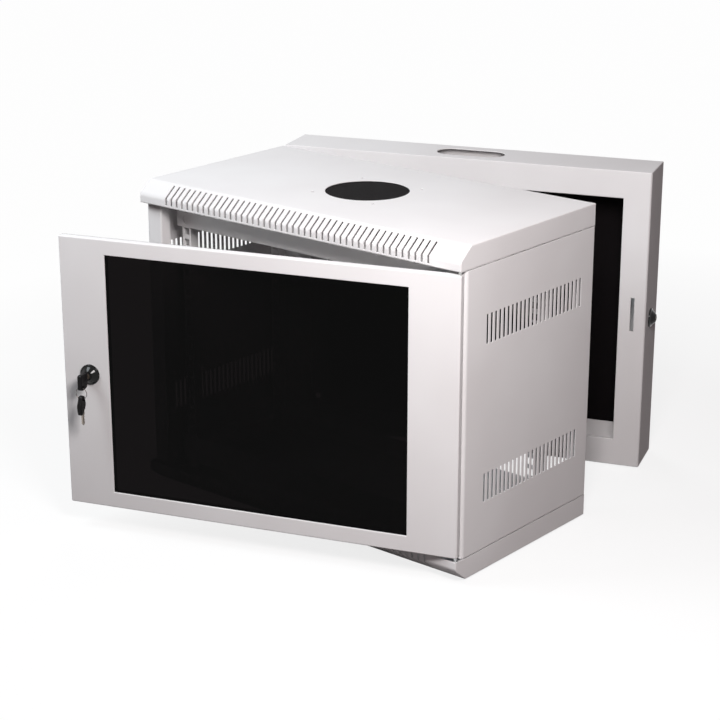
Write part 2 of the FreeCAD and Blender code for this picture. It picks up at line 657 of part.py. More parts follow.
def hinge(level, direction):
    """Butt hinge on the left sides: the middle knuckle swings with the main section."""
    near = "-swing_y + section_gap / 2 + leaf_gap"
    fixed = leaf(direction, "-swing_y", near, near + " + hinge_leaf_width",
                 [("-hinge_height / 2", "hinge_height / 3"), ("hinge_height / 6", "hinge_height / 3")])
    piece(fixed, level + "_hinge_fixed_leaf", wall_frame)
    far = "-swing_y - section_gap / 2 - leaf_gap"
    moving = leaf(direction, far, far + " - hinge_leaf_width", far,
                  [("0.3 - hinge_height / 6", "hinge_height / 3 - 0.6")])
    piece(moving, level + "_hinge_moving_leaf", swing)
    foot = toward(direction, "half_height - hinge_inset") + " - hinge_height / 2 - 4"
    pin = rod("hinge_pin / 2", "hinge_height + 4", "z", "-swing_x", "-swing_y", foot)
    head = rod("hinge_knuckle / 2", "4", "z", "-swing_x", "-swing_y", foot)
    piece(union([pin, head]), level + "_hinge_pin", wall_frame)


for level, direction in LEVELS:
    hinge(level, direction)

# ---------------------------------------------------------------- door
door = new_body("door_frame")
face = plane_sketch(door, "XZ_Plane")
draw_rectangle(face, "-door_edge", "door_bottom", "door_edge", "door_top")
sweep(door, "Pad", face, "door_depth", back=True)
round_edges(door, "body_sheet * 1.5",
            [Vector(0, 0, size["door_top"]), Vector(0, 0, size["door_bottom"]),
             Vector(size["door_edge"], 0, size["half_height"]),
             Vector(-size["door_edge"], 0, size["half_height"])])
# Hollow behind the face, leaving the returns and the folded edge round the window.
hollow = plane_sketch(door, "XZ_Plane", "-door_depth")
draw_rectangle(hollow, "body_sheet - door_edge", "door_bottom + body_sheet",
               "door_edge - body_sheet", "door_top - body_sheet")
sweep(door, "Pocket", hollow, "door_depth - body_sheet", back=True)
window = plane_sketch(door, "XZ_Plane")
draw_rectangle(window, "window_left - door_edge", "door_bottom + window_bottom",
               "door_edge - window_right", "door_top - window_top")
sweep(door, "Pocket", window, "4 * body_sheet", both=True)
window_edge = plane_sketch(door, "XZ_Plane")
draw_rectangle(window_edge, "window_left - door_edge", "door_bottom + window_bottom",
               "door_edge - window_right", "door_top - window_top")
draw_rectangle(window_edge, "window_left - door_edge - body_sheet",
               "door_bottom + window_bottom - body_sheet",
               "door_edge - window_right + body_sheet", "door_top - window_top + body_sheet")
sweep(door, "Pad", window_edge, "window_hem", back=True)
round_edges(door, "body_sheet * 0.8",
            [Vector(0, 0, size["door_top"] - size["window_top"]),
             Vector(0, 0, size["door_bottom"] + size["window_bottom"]),
             Vector(size["door_edge"] - size["window_right"], 0, size["half_height"]),
             Vector(size["window_left"] - size["door_edge"], 0, size["half_height"])])
lock_hole = plane_sketch(door, "XZ_Plane")
draw_circle(lock_hole, "lock_inset - door_edge", "half_height", "lock_barrel / 2 + pin_fit")
sweep(door, "Pocket", lock_hole, "4 * body_sheet", both=True)
pin_holes = plane_sketch(door, "XY_Plane", "door_bottom")
draw_circle(pin_holes, "pivot_side", "pivot_inset", "pin_diameter / 2 + pin_fit")
sweep(door, "Pocket", pin_holes, "2 * door_height", both=True)
piece(door, "door_frame", door_frame)

plate("door_glass", door_frame, ("-glass_left", "glass_bottom", "glass_right", "glass_top"),
      "glass_front", "glass_thickness")

strip = new_body("glass_gasket")
ring = plane_sketch(strip, "XZ_Plane", "-body_sheet")
draw_rectangle(ring, "-glass_left", "glass_bottom", "glass_right", "glass_top")
draw_rectangle(ring, "gasket_width - glass_left", "glass_bottom + gasket_width",
               "glass_right - gasket_width", "glass_top - gasket_width")
sweep(strip, "Pad", ring, "gasket_thickness", back=True)
piece(strip, "glass_gasket", door_frame)


# Flat strips behind the edges of the glass, screwed to studs on the door.
plate("upper_glass_retainer", door_frame,
      ("-glass_left", "glass_top - retainer_width", "glass_right", "glass_top + 2"),
      "glass_back", "body_sheet")
plate("lower_glass_retainer", door_frame,
      ("-glass_left", "glass_bottom - 2", "glass_right", "glass_bottom + retainer_width"),
      "glass_back", "body_sheet")
for side, sign in SIDES:
    edge = "glass_right" if sign > 0 else "glass_left"
    plate(side + "_glass_retainer", door_frame,
          (toward(sign, edge + " - retainer_width"), "glass_bottom + retainer_width",
           toward(sign, edge + " + 2"), "glass_top - retainer_width"),
          "glass_back", "body_sheet")


def door_pivot(level, direction):
    """Pin block in the door's corner and the bracket in the cover that takes the pin."""
    edge = "door_top" if direction > 0 else "door_bottom"
    inward = "-(body_sheet + 12)" if direction > 0 else "body_sheet"
    block = box("14", "door_depth - 2 * body_sheet", "12", "door_edge - body_sheet - 14",
                "body_sheet", edge + " + " + inward)
    pin_start = edge + " - 10" if direction > 0 else "skirt_height - bracket_sheet"
    pin = rod("pin_diameter / 2", "10 + door_gap + bracket_sheet", "z",
              "pivot_side", "pivot_inset", pin_start)
    piece(union([block, pin]), level + "_door_pin", door_frame)
    low = level_z(direction, "skirt_height") if direction > 0 else "skirt_height - bracket_sheet"
    tab = box("34", "bracket_depth", "bracket_sheet", "panel_inside - 34", "body_sheet", low)
    hole = rod("pin_diameter / 2 + pin_fit", "4 * bracket_sheet", "z",
               "pivot_side", "pivot_inset", low + " - bracket_sheet")
    piece(minus(tab, hole), level + "_door_bracket", main_frame)


for level, direction in LEVELS:
    door_pivot(level, direction)

bumpers = []
for side, sign in SIDES:
    for level, direction in LEVELS:
        height = "door_top - 30" if direction > 0 else "door_bottom + 30"
        bumpers.append(rod("bumper_diameter / 2", "front_setback - body_sheet - 0.3", "y",
                           toward(sign, "half_width - stile_width / 2 - 3"), "body_sheet", height))
piece(group(bumpers), "door_bumpers", door_frame)


# ---------------------------------------------------------------- locks and keys
def lock(prefix, frame, sheet, hooked):
    """Cam lock: domed body and nut stay on the sheet; plug, cam and screw turn."""
    body = new_body(prefix + "_lock_body")
    profile = plane_sketch(body, "XY_Plane")
    draw_outline(profile, [("bore_radius", "-lock_face"), ("lock_disc / 2", "-lock_face"),
                           ("lock_disc / 2", "0"), ("lock_barrel / 2", "0"),
                           ("lock_barrel / 2", "barrel_length"), ("bore_radius", "barrel_length")])
    turn = body.newObject("PartDesign::Revolution", body.Name + "_turn")
    turn.Profile = profile
    turn.ReferenceAxis = (profile, ["V_Axis"])
    turn.Angle = 360
    body.Tip = turn
    round_edges(body, "lock_face * 0.6",
                [Vector(-size["lock_disc"] / 2, -size["lock_face"], 0)])
    piece(body, prefix + "_lock_body", frame)

    hexagon = document.addObject("Part::Prism", "nut")
    hexagon.Polygon = 6
    hexagon.setExpression("Circumradius", rule("nut_width / 2 / cos(30)"))
    hexagon.setExpression("Height", rule("nut_height"))
    hexagon.Placement.Rotation = AIM["y"]
    place_by_rules(hexagon, "0", sheet, "0")
    thread = rod("lock_barrel / 2", "2 * nut_height", "y", "0", sheet + " - nut_height / 2")
    piece(minus(hexagon, thread), prefix + "_lock_nut", frame)

    plug = new_body(prefix + "_lock_plug")
    core = plane_sketch(plug, "XZ_Plane", "lock_face - 0.6")
    draw_circle(core, "0", "0", "plug_diameter / 2")
    sweep(plug, "Pad", core, "plug_end + lock_face - 0.6", back=True)
    tang = plane_sketch(plug, "XZ_Plane", "-plug_end")
    draw_rectangle(tang, "-plug_diameter * 0.3", "-plug_diameter * 0.3",
                   "plug_diameter * 0.3", "plug_diameter * 0.3")
    sweep(plug, "Pad", tang, "cam_back - plug_end", back=True)
    keyway = plane_sketch(plug, "XZ_Plane", "lock_face")
    draw_rectangle(keyway, "-blade_sheet / 2 - pin_fit", "-blade_width / 2 - pin_fit",
                   "blade_sheet / 2 + pin_fit", "blade_width / 2 + pin_fit")
    sweep(plug, "Pocket", keyway, "barrel_length + lock_face - 4")
    piece(plug, prefix + "_lock_plug", frame)

    cam = new_body(prefix + "_lock_cam")
    outline = plane_sketch(cam, "XZ_Plane", "-cam_front")
    if hooked:
        # Parked upwards; turned down it passes both slots and drops its hook behind the flange.
        grip = "side_lock_depth + section_gap + 2 * body_sheet + 0.6"
        draw_outline(outline, [
            ("-cam_width / 2", "-cam_width / 2"), ("cam_width / 2", "-cam_width / 2"),
            ("cam_width / 2", "hook_reach"), ("-cam_width / 2 - hook_drop", "hook_reach"),
            ("-cam_width / 2 - hook_drop", grip), ("-cam_width / 2", grip)])
    else:
        draw_outline(outline, [
            ("-cam_width / 2", "cam_width / 2"), ("-cam_width / 2", "-cam_reach + 3"),
            ("-cam_width / 2 + 3", "-cam_reach"), ("cam_width / 2 - 3", "-cam_reach"),
            ("cam_width / 2", "-cam_reach + 3"), ("cam_width / 2", "cam_width / 2")])
    draw_rectangle(outline, "-plug_diameter * 0.3 - pin_fit", "-plug_diameter * 0.3 - pin_fit",
                   "plug_diameter * 0.3 + pin_fit", "plug_diameter * 0.3 + pin_fit")
    sweep(cam, "Pad", outline, "cam_sheet", back=True)
    piece(cam, prefix + "_lock_cam", frame)
    screw = new_body(prefix + "_cam_screw")
    head = plane_sketch(screw, "XZ_Plane", "-cam_back")
    draw_circle(head, "0", "0", "plug_diameter * 0.45")
    sweep(screw, "Pad", head, "3", back=True)
    piece(screw, prefix + "_cam_screw", frame)


lock("front", front_lock_frame, "body_sheet", False)
lock("side", side_lock_frame, "frame_sheet", True)

# Key in the front lock: flat steel blade and a moulded bow with a hole for the ring.
plate("front_key_blade", front_lock_frame,
      ("-blade_sheet / 2", "-blade_width / 2", "blade_sheet / 2", "blade_width / 2"),
      "-lock_face - 3", "lock_face + 3 + barrel_length - 4.5")
bow = new_body("front_key_bow")
bow_shape = plane_sketch(bow, "YZ_Plane")
draw_outline(bow_shape, [("-lock_face - 3", "blade_width * 0.9"),
                         ("-lock_face - 3", "-blade_width * 0.9"),
                         ("-lock_face - 7", "-bow_height * 0.64"),
                         ("-lock_face - 3 - bow_length", "-bow_height * 0.64"),
                         ("-lock_face - 3 - bow_length", "bow_height * 0.36")])
sweep(bow, "Pad", bow_shape, "bow_sheet", both=True)
bow_end = -size["lock_face"] - 3 - size["bow_length"]
bow_foot = -0.64 * size["bow_height"]
round_edges(bow, "bow_sheet / 2",
            [Vector(0, bow_end, bow_foot), Vector(0, -size["lock_face"] - 7, bow_foot),
             Vector(0, bow_end, 0.36 * size["bow_height"])])
bow_hole = plane_sketch(bow, "YZ_Plane")
draw_circle(bow_hole, "ring_y", "ring_z", "bow_hole / 2")
sweep(bow, "Pocket", bow_hole, "2 * bow_sheet", both=True)
piece(bow, "front_key_bow", front_lock_frame)

# Ring through the front key's bow, and the spare key that hangs on it.
ring = document.addObject("Part::Torus", "key_ring")
ring.setExpression("Radius1", rule("ring_radius"))
ring.setExpression("Radius2", rule("ring_wire / 2"))
ring_centre = Vector(0, size["ring_y"], size["ring_z"] - size["ring_radius"] - 0.3)
piece(ring, "key_ring", front_lock_frame, Placement(ring_centre, AIM["y"]))

spare = new_body("spare_key_bow")
leaf_shape = plane_sketch(spare, "YZ_Plane")
draw_outline(leaf_shape, [("ring_y - 3", "spare_z + 4.5"),
                          ("ring_y - 9.5", "spare_z - spare_length * 0.35"),
                          ("ring_y - 7", "spare_z + 4.5 - spare_length"),
                          ("ring_y - 2.5", "spare_z + 4.5 - spare_length"),
                          ("ring_y + 7.5", "spare_z - spare_length * 0.35"),
                          ("ring_y + 3", "spare_z + 4.5")])
sweep(spare, "Pad", leaf_shape, "bow_sheet", both=True)
round_edges(spare, "2", [Vector(0, size["ring_y"] + reach, size["spare_z"] + height)
                         for reach, height in ((-3, 4.5), (3, 4.5), (-9.5, -0.35 * size["spare_length"]),
                                               (7.5, -0.35 * size["spare_length"]),
                                               (-7, 4.5 - size["spare_length"]))])
spare_hole = plane_sketch(spare, "YZ_Plane")
draw_circle(spare_hole, "ring_y", "spare_z", "bow_hole / 2")
sweep(spare, "Pocket", spare_hole, "2 * bow_sheet", both=True)
piece(spare, "spare_key_bow", front_lock_frame)

spare_steel = new_body("spare_key_blade")
blade = plane_sketch(spare_steel, "YZ_Plane")
draw_outline(blade, [("ring_y - 1", "spare_z + 4.5 - spare_length + 1.5 * spare_slope"),
                     ("ring_y - 1", "spare_z + 7.5 - spare_length - spare_blade"),
                     ("ring_y + 1.5", "spare_z + 4.5 - spare_length - spare_blade"),
                     ("ring_y + 4.5", "spare_z + 7.5 - spare_length - spare_blade"),
                     ("ring_y + 4.5", "spare_z + 4.5 - spare_length + 7 * spare_slope")])
sweep(spare_steel, "Pad", blade, "blade_sheet", both=True)
piece(spare_steel, "spare_key_blade", front_lock_frame)

# ---------------------------------------------------------------- wall section
shell = new_body("wall_section_frame")
block = plane_sketch(shell, "XZ_Plane")
draw_rectangle(block, "-half_width", "-half_height", "half_width", "half_height")
sweep(shell, "Pad", block, "wall_depth")
round_edges(shell, "2 * frame_sheet",
            [Vector(sign * size["half_width"], -size["wall_depth"], 0) for side, sign in SIDES])
inside = plane_sketch(shell, "XZ_Plane", "wall_depth - frame_sheet")
draw_rectangle(inside, "-wall_inside_x", "-wall_inside_z", "wall_inside_x", "wall_inside_z")
sweep(shell, "Pocket", inside, "wall_depth - 2 * frame_sheet")
# Folded edge round the front opening.
hem = plane_sketch(shell, "XZ_Plane", "wall_depth")
draw_rectangle(hem, "-opening_x - frame_sheet", "-opening_z - frame_sheet",
               "opening_x + frame_sheet", "opening_z + frame_sheet")
draw_rectangle(hem, "-opening_x", "-opening_z", "opening_x", "opening_z")
sweep(shell, "Pad", hem, "wall_hem", back=True)
front_opening = plane_sketch(shell, "XZ_Plane", "wall_depth")
draw_rectangle(front_opening, "-opening_x", "-opening_z", "opening_x", "opening_z")
sweep(shell, "Pocket", front_opening, "2 * wall_hem")
rear_opening = plane_sketch(shell, "XZ_Plane")
draw_rectangle(rear_opening, "wall_back_flange - half_width", "wall_back_flange - half_height",
               "half_width - wall_back_flange", "half_height - wall_back_flange")
sweep(shell, "Pocket", rear_opening, "4 * frame_sheet", both=True)
# Cable entries in the top and the bottom.
cut_obround(shell, "XY_Plane", "0", "0", "-wall_depth / 2", "entry_length", "entry_width",
            "cabinet_height + 10")
# Wall fixing holes at the four corners of the rear flange.
fixings = plane_sketch(shell, "XZ_Plane")
for side, across in SIDES:
    for level, direction in LEVELS:
        draw_circle(fixings, toward(across, "wall_hole_x"), toward(direction, "wall_hole_z"),
                    "wall_hole / 2")
sweep(shell, "Pocket", fixings, "4 * frame_sheet", both=True)
# Slot for the hook of the side lock, and the hole for the lock's barrel.
slot = plane_sketch(shell, "XZ_Plane", "wall_depth")
draw_rectangle(slot, "hook_slot_x - hook_slot_width / 2", "-hook_slot_below",
               "hook_slot_x + hook_slot_width / 2", "hook_slot_above")
sweep(shell, "Pocket", slot, "4 * frame_sheet", both=True)
barrel_hole = plane_sketch(shell, "YZ_Plane", "half_width")
draw_circle(barrel_hole, "-lock_line", "0", "lock_barrel / 2 + pin_fit")
sweep(shell, "Pocket", barrel_hole, "4 * frame_sheet", both=True)
piece(shell, "wall_section_frame", wall_frame)

plate("wall_back_panel", wall_frame, ("-back_panel_x", "-back_panel_z", "back_panel_x", "back_panel_z"),
      "-frame_sheet - back_panel_sheet", "back_panel_sheet")
screws = []
for across in (-1, 0, 1):
    for up in (-1, 0, 1):
        if across or up:
            screws.append(rod("panel_screw / 2", "2", "y", "%d * (back_panel_x - 6)" % across,
                              "-frame_sheet - back_panel_sheet - 2", "%d * (back_panel_z - 6)" % up))
piece(group(screws), "back_panel_screws", wall_frame)

# ---------------------------------------------------------------- checks and export
document.recompute()
for item in document.Objects:
    assert "Invalid" not in item.State and "Error" not in item.State, item.Label
for solid in pieces:
    assert not solid.Shape.isNull() and solid.Shape.isValid(), solid.Label
os.makedirs("parts", exist_ok=True)
for solid in pieces:
    solid.Shape.exportStep("parts/%s.step" % solid.Label)
print("%d sub-parts written" % len(pieces))
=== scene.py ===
import json
import math

import bmesh
import bpy
from mathutils import Matrix, Vector


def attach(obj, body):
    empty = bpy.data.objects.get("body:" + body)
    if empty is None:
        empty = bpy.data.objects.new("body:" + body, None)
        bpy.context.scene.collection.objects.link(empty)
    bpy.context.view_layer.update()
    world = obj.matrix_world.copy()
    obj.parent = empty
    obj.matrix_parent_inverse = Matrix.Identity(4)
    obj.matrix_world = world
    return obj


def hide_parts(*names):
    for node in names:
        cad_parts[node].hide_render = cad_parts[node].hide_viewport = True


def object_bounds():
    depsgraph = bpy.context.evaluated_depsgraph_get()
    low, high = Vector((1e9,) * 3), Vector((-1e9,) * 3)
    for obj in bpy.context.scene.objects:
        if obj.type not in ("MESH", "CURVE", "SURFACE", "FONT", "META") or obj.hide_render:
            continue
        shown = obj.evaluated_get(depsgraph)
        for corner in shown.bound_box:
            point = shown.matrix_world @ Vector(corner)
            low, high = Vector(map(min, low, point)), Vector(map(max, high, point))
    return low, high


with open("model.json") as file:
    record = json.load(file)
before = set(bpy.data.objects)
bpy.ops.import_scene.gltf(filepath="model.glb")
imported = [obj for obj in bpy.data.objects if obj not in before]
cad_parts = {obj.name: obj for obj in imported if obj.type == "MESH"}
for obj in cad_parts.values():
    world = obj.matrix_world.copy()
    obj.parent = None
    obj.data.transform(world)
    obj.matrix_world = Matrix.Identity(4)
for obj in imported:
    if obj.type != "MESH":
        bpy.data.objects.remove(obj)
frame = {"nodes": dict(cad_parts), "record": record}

cad_low, cad_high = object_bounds()

# ---- Camera
# A product view from the right of the front and a little above, on a long lens from about three
# metres away, so that far edges look hardly shorter than near ones.
camera = bpy.data.objects.new("camera", bpy.data.cameras.new("camera"))
camera.data.lens = 95.73
camera.data.sensor_width = 36
camera.location = (0.7817, -2.6960, 0.8356)
camera.rotation_euler = (math.radians(90 - 18.685), 0, math.radians(19.778))
bpy.context.scene.collection.objects.link(camera)
bpy.context.scene.camera = camera
bpy.context.scene.view_settings.view_transform = "Standard"

# ---- Covers, side panels, door and wall section
# Sheet steel of 1.2 and 1.5 mm, punched, folded and welded, then sprayed with light grey polyester
# powder and baked. The coat melts to a satin skin with a fine orange peel, and rounds every edge.
body_of = {node: body for body, nodes in frame["record"]["behaviour"]["bodies"].items()
           for node in nodes}
slot_of = {entry["node"]: entry["material_slot"] for entry in frame["record"]["subparts"]}


def linear(hex_colour):
    """An sRGB hex colour as linear RGBA."""
    parts = [int(hex_colour[i:i + 2], 16) / 255 for i in (1, 3, 5)]
    return [c / 12.92 if c <= 0.04045 else ((c + 0.055) / 1.055) ** 2.4 for c in parts] + [1.0]


def add_node(tree, kind, links=None, **settings):
    """One node with its settings; links gives a value or other nodes' outputs for each input."""
    node = tree.nodes.new(kind)
    for name, value in settings.items():
        setattr(node, name, value)
    for socket, value in (links or {}).items():
        sources = value if isinstance(value, list) else [value]
        if isinstance(sources[0], bpy.types.NodeSocket):
            for source in sources:
                tree.links.new(source, node.inputs[socket])
        else:
            node.inputs[socket].default_value = value
    return node


def start_material(name):
    """An empty material, its node tree and the object coordinates that its patterns lie on."""
    material = bpy.data.materials.new(name)
    material.use_nodes = True
    tree = material.node_tree
    tree.nodes.clear()
    return material, tree, add_node(tree, "ShaderNodeTexCoord").outputs["Object"]


def end_material(tree, shader):
    add_node(tree, "ShaderNodeOutputMaterial", {"Surface": shader.outputs["BSDF"]})


def own_piece(name, mesh, material, body, slot, *nodes):
    """A finished mesh as a piece that rides on a body and stands for CAD nodes."""
    piece = bpy.data.objects.new(name, mesh)
    mesh.materials.clear()
    mesh.materials.append(material)
    bpy.context.scene.collection.objects.link(piece)
    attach(piece, body)
    if nodes:
        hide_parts(*nodes)
    return piece


def flat_faces_stay_flat(piece):
    shading = piece.modifiers.new("flat_faces_stay_flat", "WEIGHTED_NORMAL")
    shading.keep_sharp = True


shallowest_sharp = math.radians(32)
steepest_soft = math.radians(60)
thicker_than_sheet = 0.004


def reach_from(edge, face):
    """How far a face goes away from one of its edges."""
    start = edge.verts[0].co
    along = (edge.verts[1].co - start).normalized()
    return max((corner.co - start).cross(along).length for corner in face.verts)


def eased_copy(node, material, radius, segments=2, fold=0, soft_fold=0):
    """A CAD node's form with its sharp edges eased, as a cut edge is under its coat. A fold, whose
    faces both reach further than the sheet is thick, gets the radius fold, or soft_fold where it
    turns less."""
    mesh = frame["nodes"][node].data.copy()
    mesh.name = node + "_eased"
    work = bmesh.new()
    work.from_mesh(mesh)
    bmesh.ops.remove_doubles(work, verts=work.verts, dist=2e-6)
    bmesh.ops.dissolve_limit(work, angle_limit=math.radians(0.5), verts=work.verts,
                             edges=work.edges)
    widest = max(radius, fold, soft_fold)
    weights = work.edges.layers.float.new("bevel_weight_edge")
    for edge in work.edges:
        turn = edge.calc_face_angle(0)
        if turn < shallowest_sharp:
            continue
        cut = radius
        reach = min(reach_from(edge, face) for face in edge.link_faces)
        if fold and edge.is_convex and reach > thicker_than_sheet:
            cut = (soft_fold if turn < steepest_soft else fold) * math.tan(turn / 2)
        edge[weights] = cut / widest
    for face in work.faces:
        face.smooth = True
    work.to_mesh(mesh)
    work.free()
    piece = own_piece(node + "_finished", mesh, material, body_of[node], slot_of[node], node)
    bevel = piece.modifiers.new("eased_edges", "BEVEL")
    bevel.width = widest
    bevel.segments = segments
    bevel.limit_method = "WEIGHT"
    bevel.use_clamp_overlap = False
    flat_faces_stay_flat(piece)
    return piece


# Orange peel has waves of about 1.5 mm; it is drawn at 2.4 mm so that it shows. It breaks up the
# gloss, and a slow drift over some 150 mm keeps large faces from looking like plain card. The skin
# reflects little, so that faces seen at a slant keep their tone against the white surround.
powder_coat, tree, place = start_material("light_grey_polyester_powder_coat")
drift = add_node(tree, "ShaderNodeTexNoise", {"Vector": place, "Scale": 1 / 0.15, "Detail": 2.0})
tone = add_node(tree, "ShaderNodeValToRGB", {"Fac": drift.outputs["Fac"]})
tone.color_ramp.elements[0].position = 0.35
tone.color_ramp.elements[0].color = linear("#E3E1E1")
tone.color_ramp.elements[1].position = 0.7
tone.color_ramp.elements[1].color = linear("#E9E8E8")
peel = add_node(tree, "ShaderNodeTexNoise", {"Vector": place, "Scale": 1 / 0.0024, "Detail": 1.5})
relief = add_node(tree, "ShaderNodeBump", {"Height": peel.outputs["Fac"], "Strength": 0.12,
                                           "Distance": 0.0002})
gloss = add_node(tree, "ShaderNodeMapRange", {"Value": drift.outputs["Fac"], "To Min": 0.58,
                                              "To Max": 0.68})
end_material(tree, add_node(tree, "ShaderNodeBsdfPrincipled", {
    "Base Color": tone.outputs["Color"], "Roughness": gloss.outputs["Result"],
    "Normal": relief.outputs["Normal"], "IOR": 1.5, "Specular IOR Level": 0.05}))

for node in ("top_cover", "bottom_cover", "left_side_panel", "right_side_panel", "door_frame",
             "wall_section_frame"):
    eased_copy(node, powder_coat, 0.0005, segments=3, fold=0.0014, soft_fold=0.009)

# ---- Rack rails, side rails and cross bars
# Folded 1.5 mm sheet steel in the same powder: rack rails with square holes on side rails, tied at
# the front by cross bars. Cut and punched edges keep a rounded skin of coat.
for node in body_of:
    if "rack_rail" in node or "side_rail" in node or "cross_bar" in node:
        eased_copy(node, powder_coat, 0.0003, segments=1)

# ---- Smoked glass of the door
# One pane of dyed, toughened float glass with ground edges, clamped behind the door frame. It is so
# dark that the cabinet's inside shows only as a faint shade. The IOR is far below that of glass, so
# that the pane stays dark where it would mirror the white surround.
smoked_glass, tree, place = start_material("smoked_float_glass")
haze = add_node(tree, "ShaderNodeTexNoise", {"Vector": place, "Scale": 1 / 0.2, "Detail": 3.0})
polish = add_node(tree, "ShaderNodeMapRange", {"Value": haze.outputs["Fac"], "To Min": 0.012,
                                               "To Max": 0.035})
end_material(tree, add_node(tree, "ShaderNodeBsdfPrincipled", {
    "Base Color": linear("#0D0A0B"), "Roughness": polish.outputs["Result"], "IOR": 1.14,
    "Transmission Weight": 1.0}))
eased_copy("door_glass", smoked_glass, 0.0004)

# ---- Glass gasket
# A strip of EPDM rubber between glass and door frame, squeezed by the glass retainers. It is matt
# black with a soft grey bloom.
rubber, tree, place = start_material("black_epdm_rubber")
bloom = add_node(tree, "ShaderNodeTexNoise", {"Vector": place, "Scale": 1 / 0.004, "Detail": 4.0})
shade = add_node(tree, "ShaderNodeValToRGB", {"Fac": bloom.outputs["Fac"]})
shade.color_ramp.elements[0].color = linear("#151515")
shade.color_ramp.elements[1].color = linear("#232222")
skin = add_node(tree, "ShaderNodeBump", {"Height": bloom.outputs["Fac"], "Strength": 0.15,
                                         "Distance": 0.0001})
end_material(tree, add_node(tree, "ShaderNodeBsdfPrincipled", {
    "Base Color": shade.outputs["Color"], "Roughness": 0.72, "Specular IOR Level": 0.2,
    "Normal": skin.outputs["Normal"]}))
eased_copy("glass_gasket", rubber, 0.0004)

# ---- Glass retainers, hinges, brackets and other plated fittings
# Mild steel strip and turned pins, electroplated with zinc and clear passivated. The finish is a
# dull silver with a faint blue and yellow cast, and shows the rolling lines of the strip.
zinc, tree, place = start_material("clear_passivated_zinc_plate")
stretch = add_node(tree, "ShaderNodeMapping", {"Vector": place, "Scale": (1.0, 1.0, 0.12)})
rolled = add_node(tree, "ShaderNodeTexNoise", {"Vector": stretch.outputs["Vector"],
                                               "Scale": 1 / 0.0012, "Detail": 3.0})
cast = add_node(tree, "ShaderNodeTexNoise", {"Vector": place, "Scale": 1 / 0.03, "Detail": 2.0})
tint = add_node(tree, "ShaderNodeValToRGB", {"Fac": cast.outputs["Fac"]})
tint.color_ramp.elements[0].position = 0.3
tint.color_ramp.elements[0].color = linear("#B9BCC4")
tint.color_ramp.elements[1].position = 0.75
tint.color_ramp.elements[1].color = linear("#C9C6BA")
dull = add_node(tree, "ShaderNodeMapRange", {"Value": rolled.outputs["Fac"], "To Min": 0.28,
                                             "To Max": 0.46})
end_material(tree, add_node(tree, "ShaderNodeBsdfPrincipled", {
    "Base Color": tint.outputs["Color"], "Metallic": 1.0, "Roughness": dull.outputs["Result"]}))
for node in body_of:
    if slot_of[node] == "zinc_plated_steel" and not node.endswith(("_screw", "_screws")):
        eased_copy(node, zinc, 0.0003)

# ---- Nuts of the glass retainers
# Hexagon nuts of 7 mm across flats on studs that are welded to the door frame; they press the
# retaining strips on the glass.
def turned(hinge, degrees):
    """A turn about the upright line of a hinge."""
    return (Matrix.Translation(hinge) @ Matrix.Rotation(math.radians(degrees), 4, "Z")
            @ Matrix.Translation(-hinge))


# A shut cabinet is the main section, a gap and the wall section deep. The main section's own frame
# has its origin at the bottom of its front, in the middle, and the shut door shares it.
front_to_wall = 0.296 + 0.006 + 0.080
half_height = 0.2225
section_hinge, section_opening = Vector((-0.282, -0.083, 0)), -20
door_hinge, door_opening = Vector((0.273, 0.005, 0)), 19.4
swing = turned(section_hinge, section_opening)
main_place = swing @ Matrix.Translation((0, -front_to_wall, -half_height))
door_place = main_place @ turned(door_hinge, door_opening)


def start_tree(name, *inputs):
    """An empty Geometry Nodes tree that takes points, sizes in metres and a material."""
    tree = bpy.data.node_groups.new(name, "GeometryNodeTree")
    tree.interface.new_socket("Points", in_out="INPUT", socket_type="NodeSocketGeometry")
    for label in inputs:
        tree.interface.new_socket(label, in_out="INPUT", socket_type="NodeSocketFloat")
    tree.interface.new_socket("Material", in_out="INPUT", socket_type="NodeSocketMaterial")
    tree.interface.new_socket("Geometry", in_out="OUTPUT", socket_type="NodeSocketGeometry")
    return tree, add_node(tree, "NodeGroupInput").outputs


def end_tree(tree, geometry, material):
    real = add_node(tree, "GeometryNodeRealizeInstances", {"Geometry": geometry})
    coated = add_node(tree, "GeometryNodeSetMaterial", {"Geometry": real.outputs[0],
                                                        "Material": material})
    add_node(tree, "NodeGroupOutput", {0: coated.outputs[0]})


def grown(name, tree, points, place, **values):
    """The plain mesh that a tree makes at the given points, moved to its place."""
    seed = bpy.data.meshes.new(name + "_points")
    seed.from_pydata(points, [], [])
    holder = bpy.data.objects.new(name + "_points", seed)
    modifier = holder.modifiers.new("tree", "NODES")
    modifier.node_group = tree
    for item in tree.interface.items_tree:
        if item.in_out == "INPUT" and item.name in values:
            modifier[item.identifier] = values[item.name]
    bpy.context.scene.collection.objects.link(holder)
    graph = bpy.context.evaluated_depsgraph_get()
    mesh = bpy.data.meshes.new_from_object(holder.evaluated_get(graph), depsgraph=graph)
    mesh.name = name
    bpy.data.objects.remove(holder)
    mesh.transform(place)
    return mesh


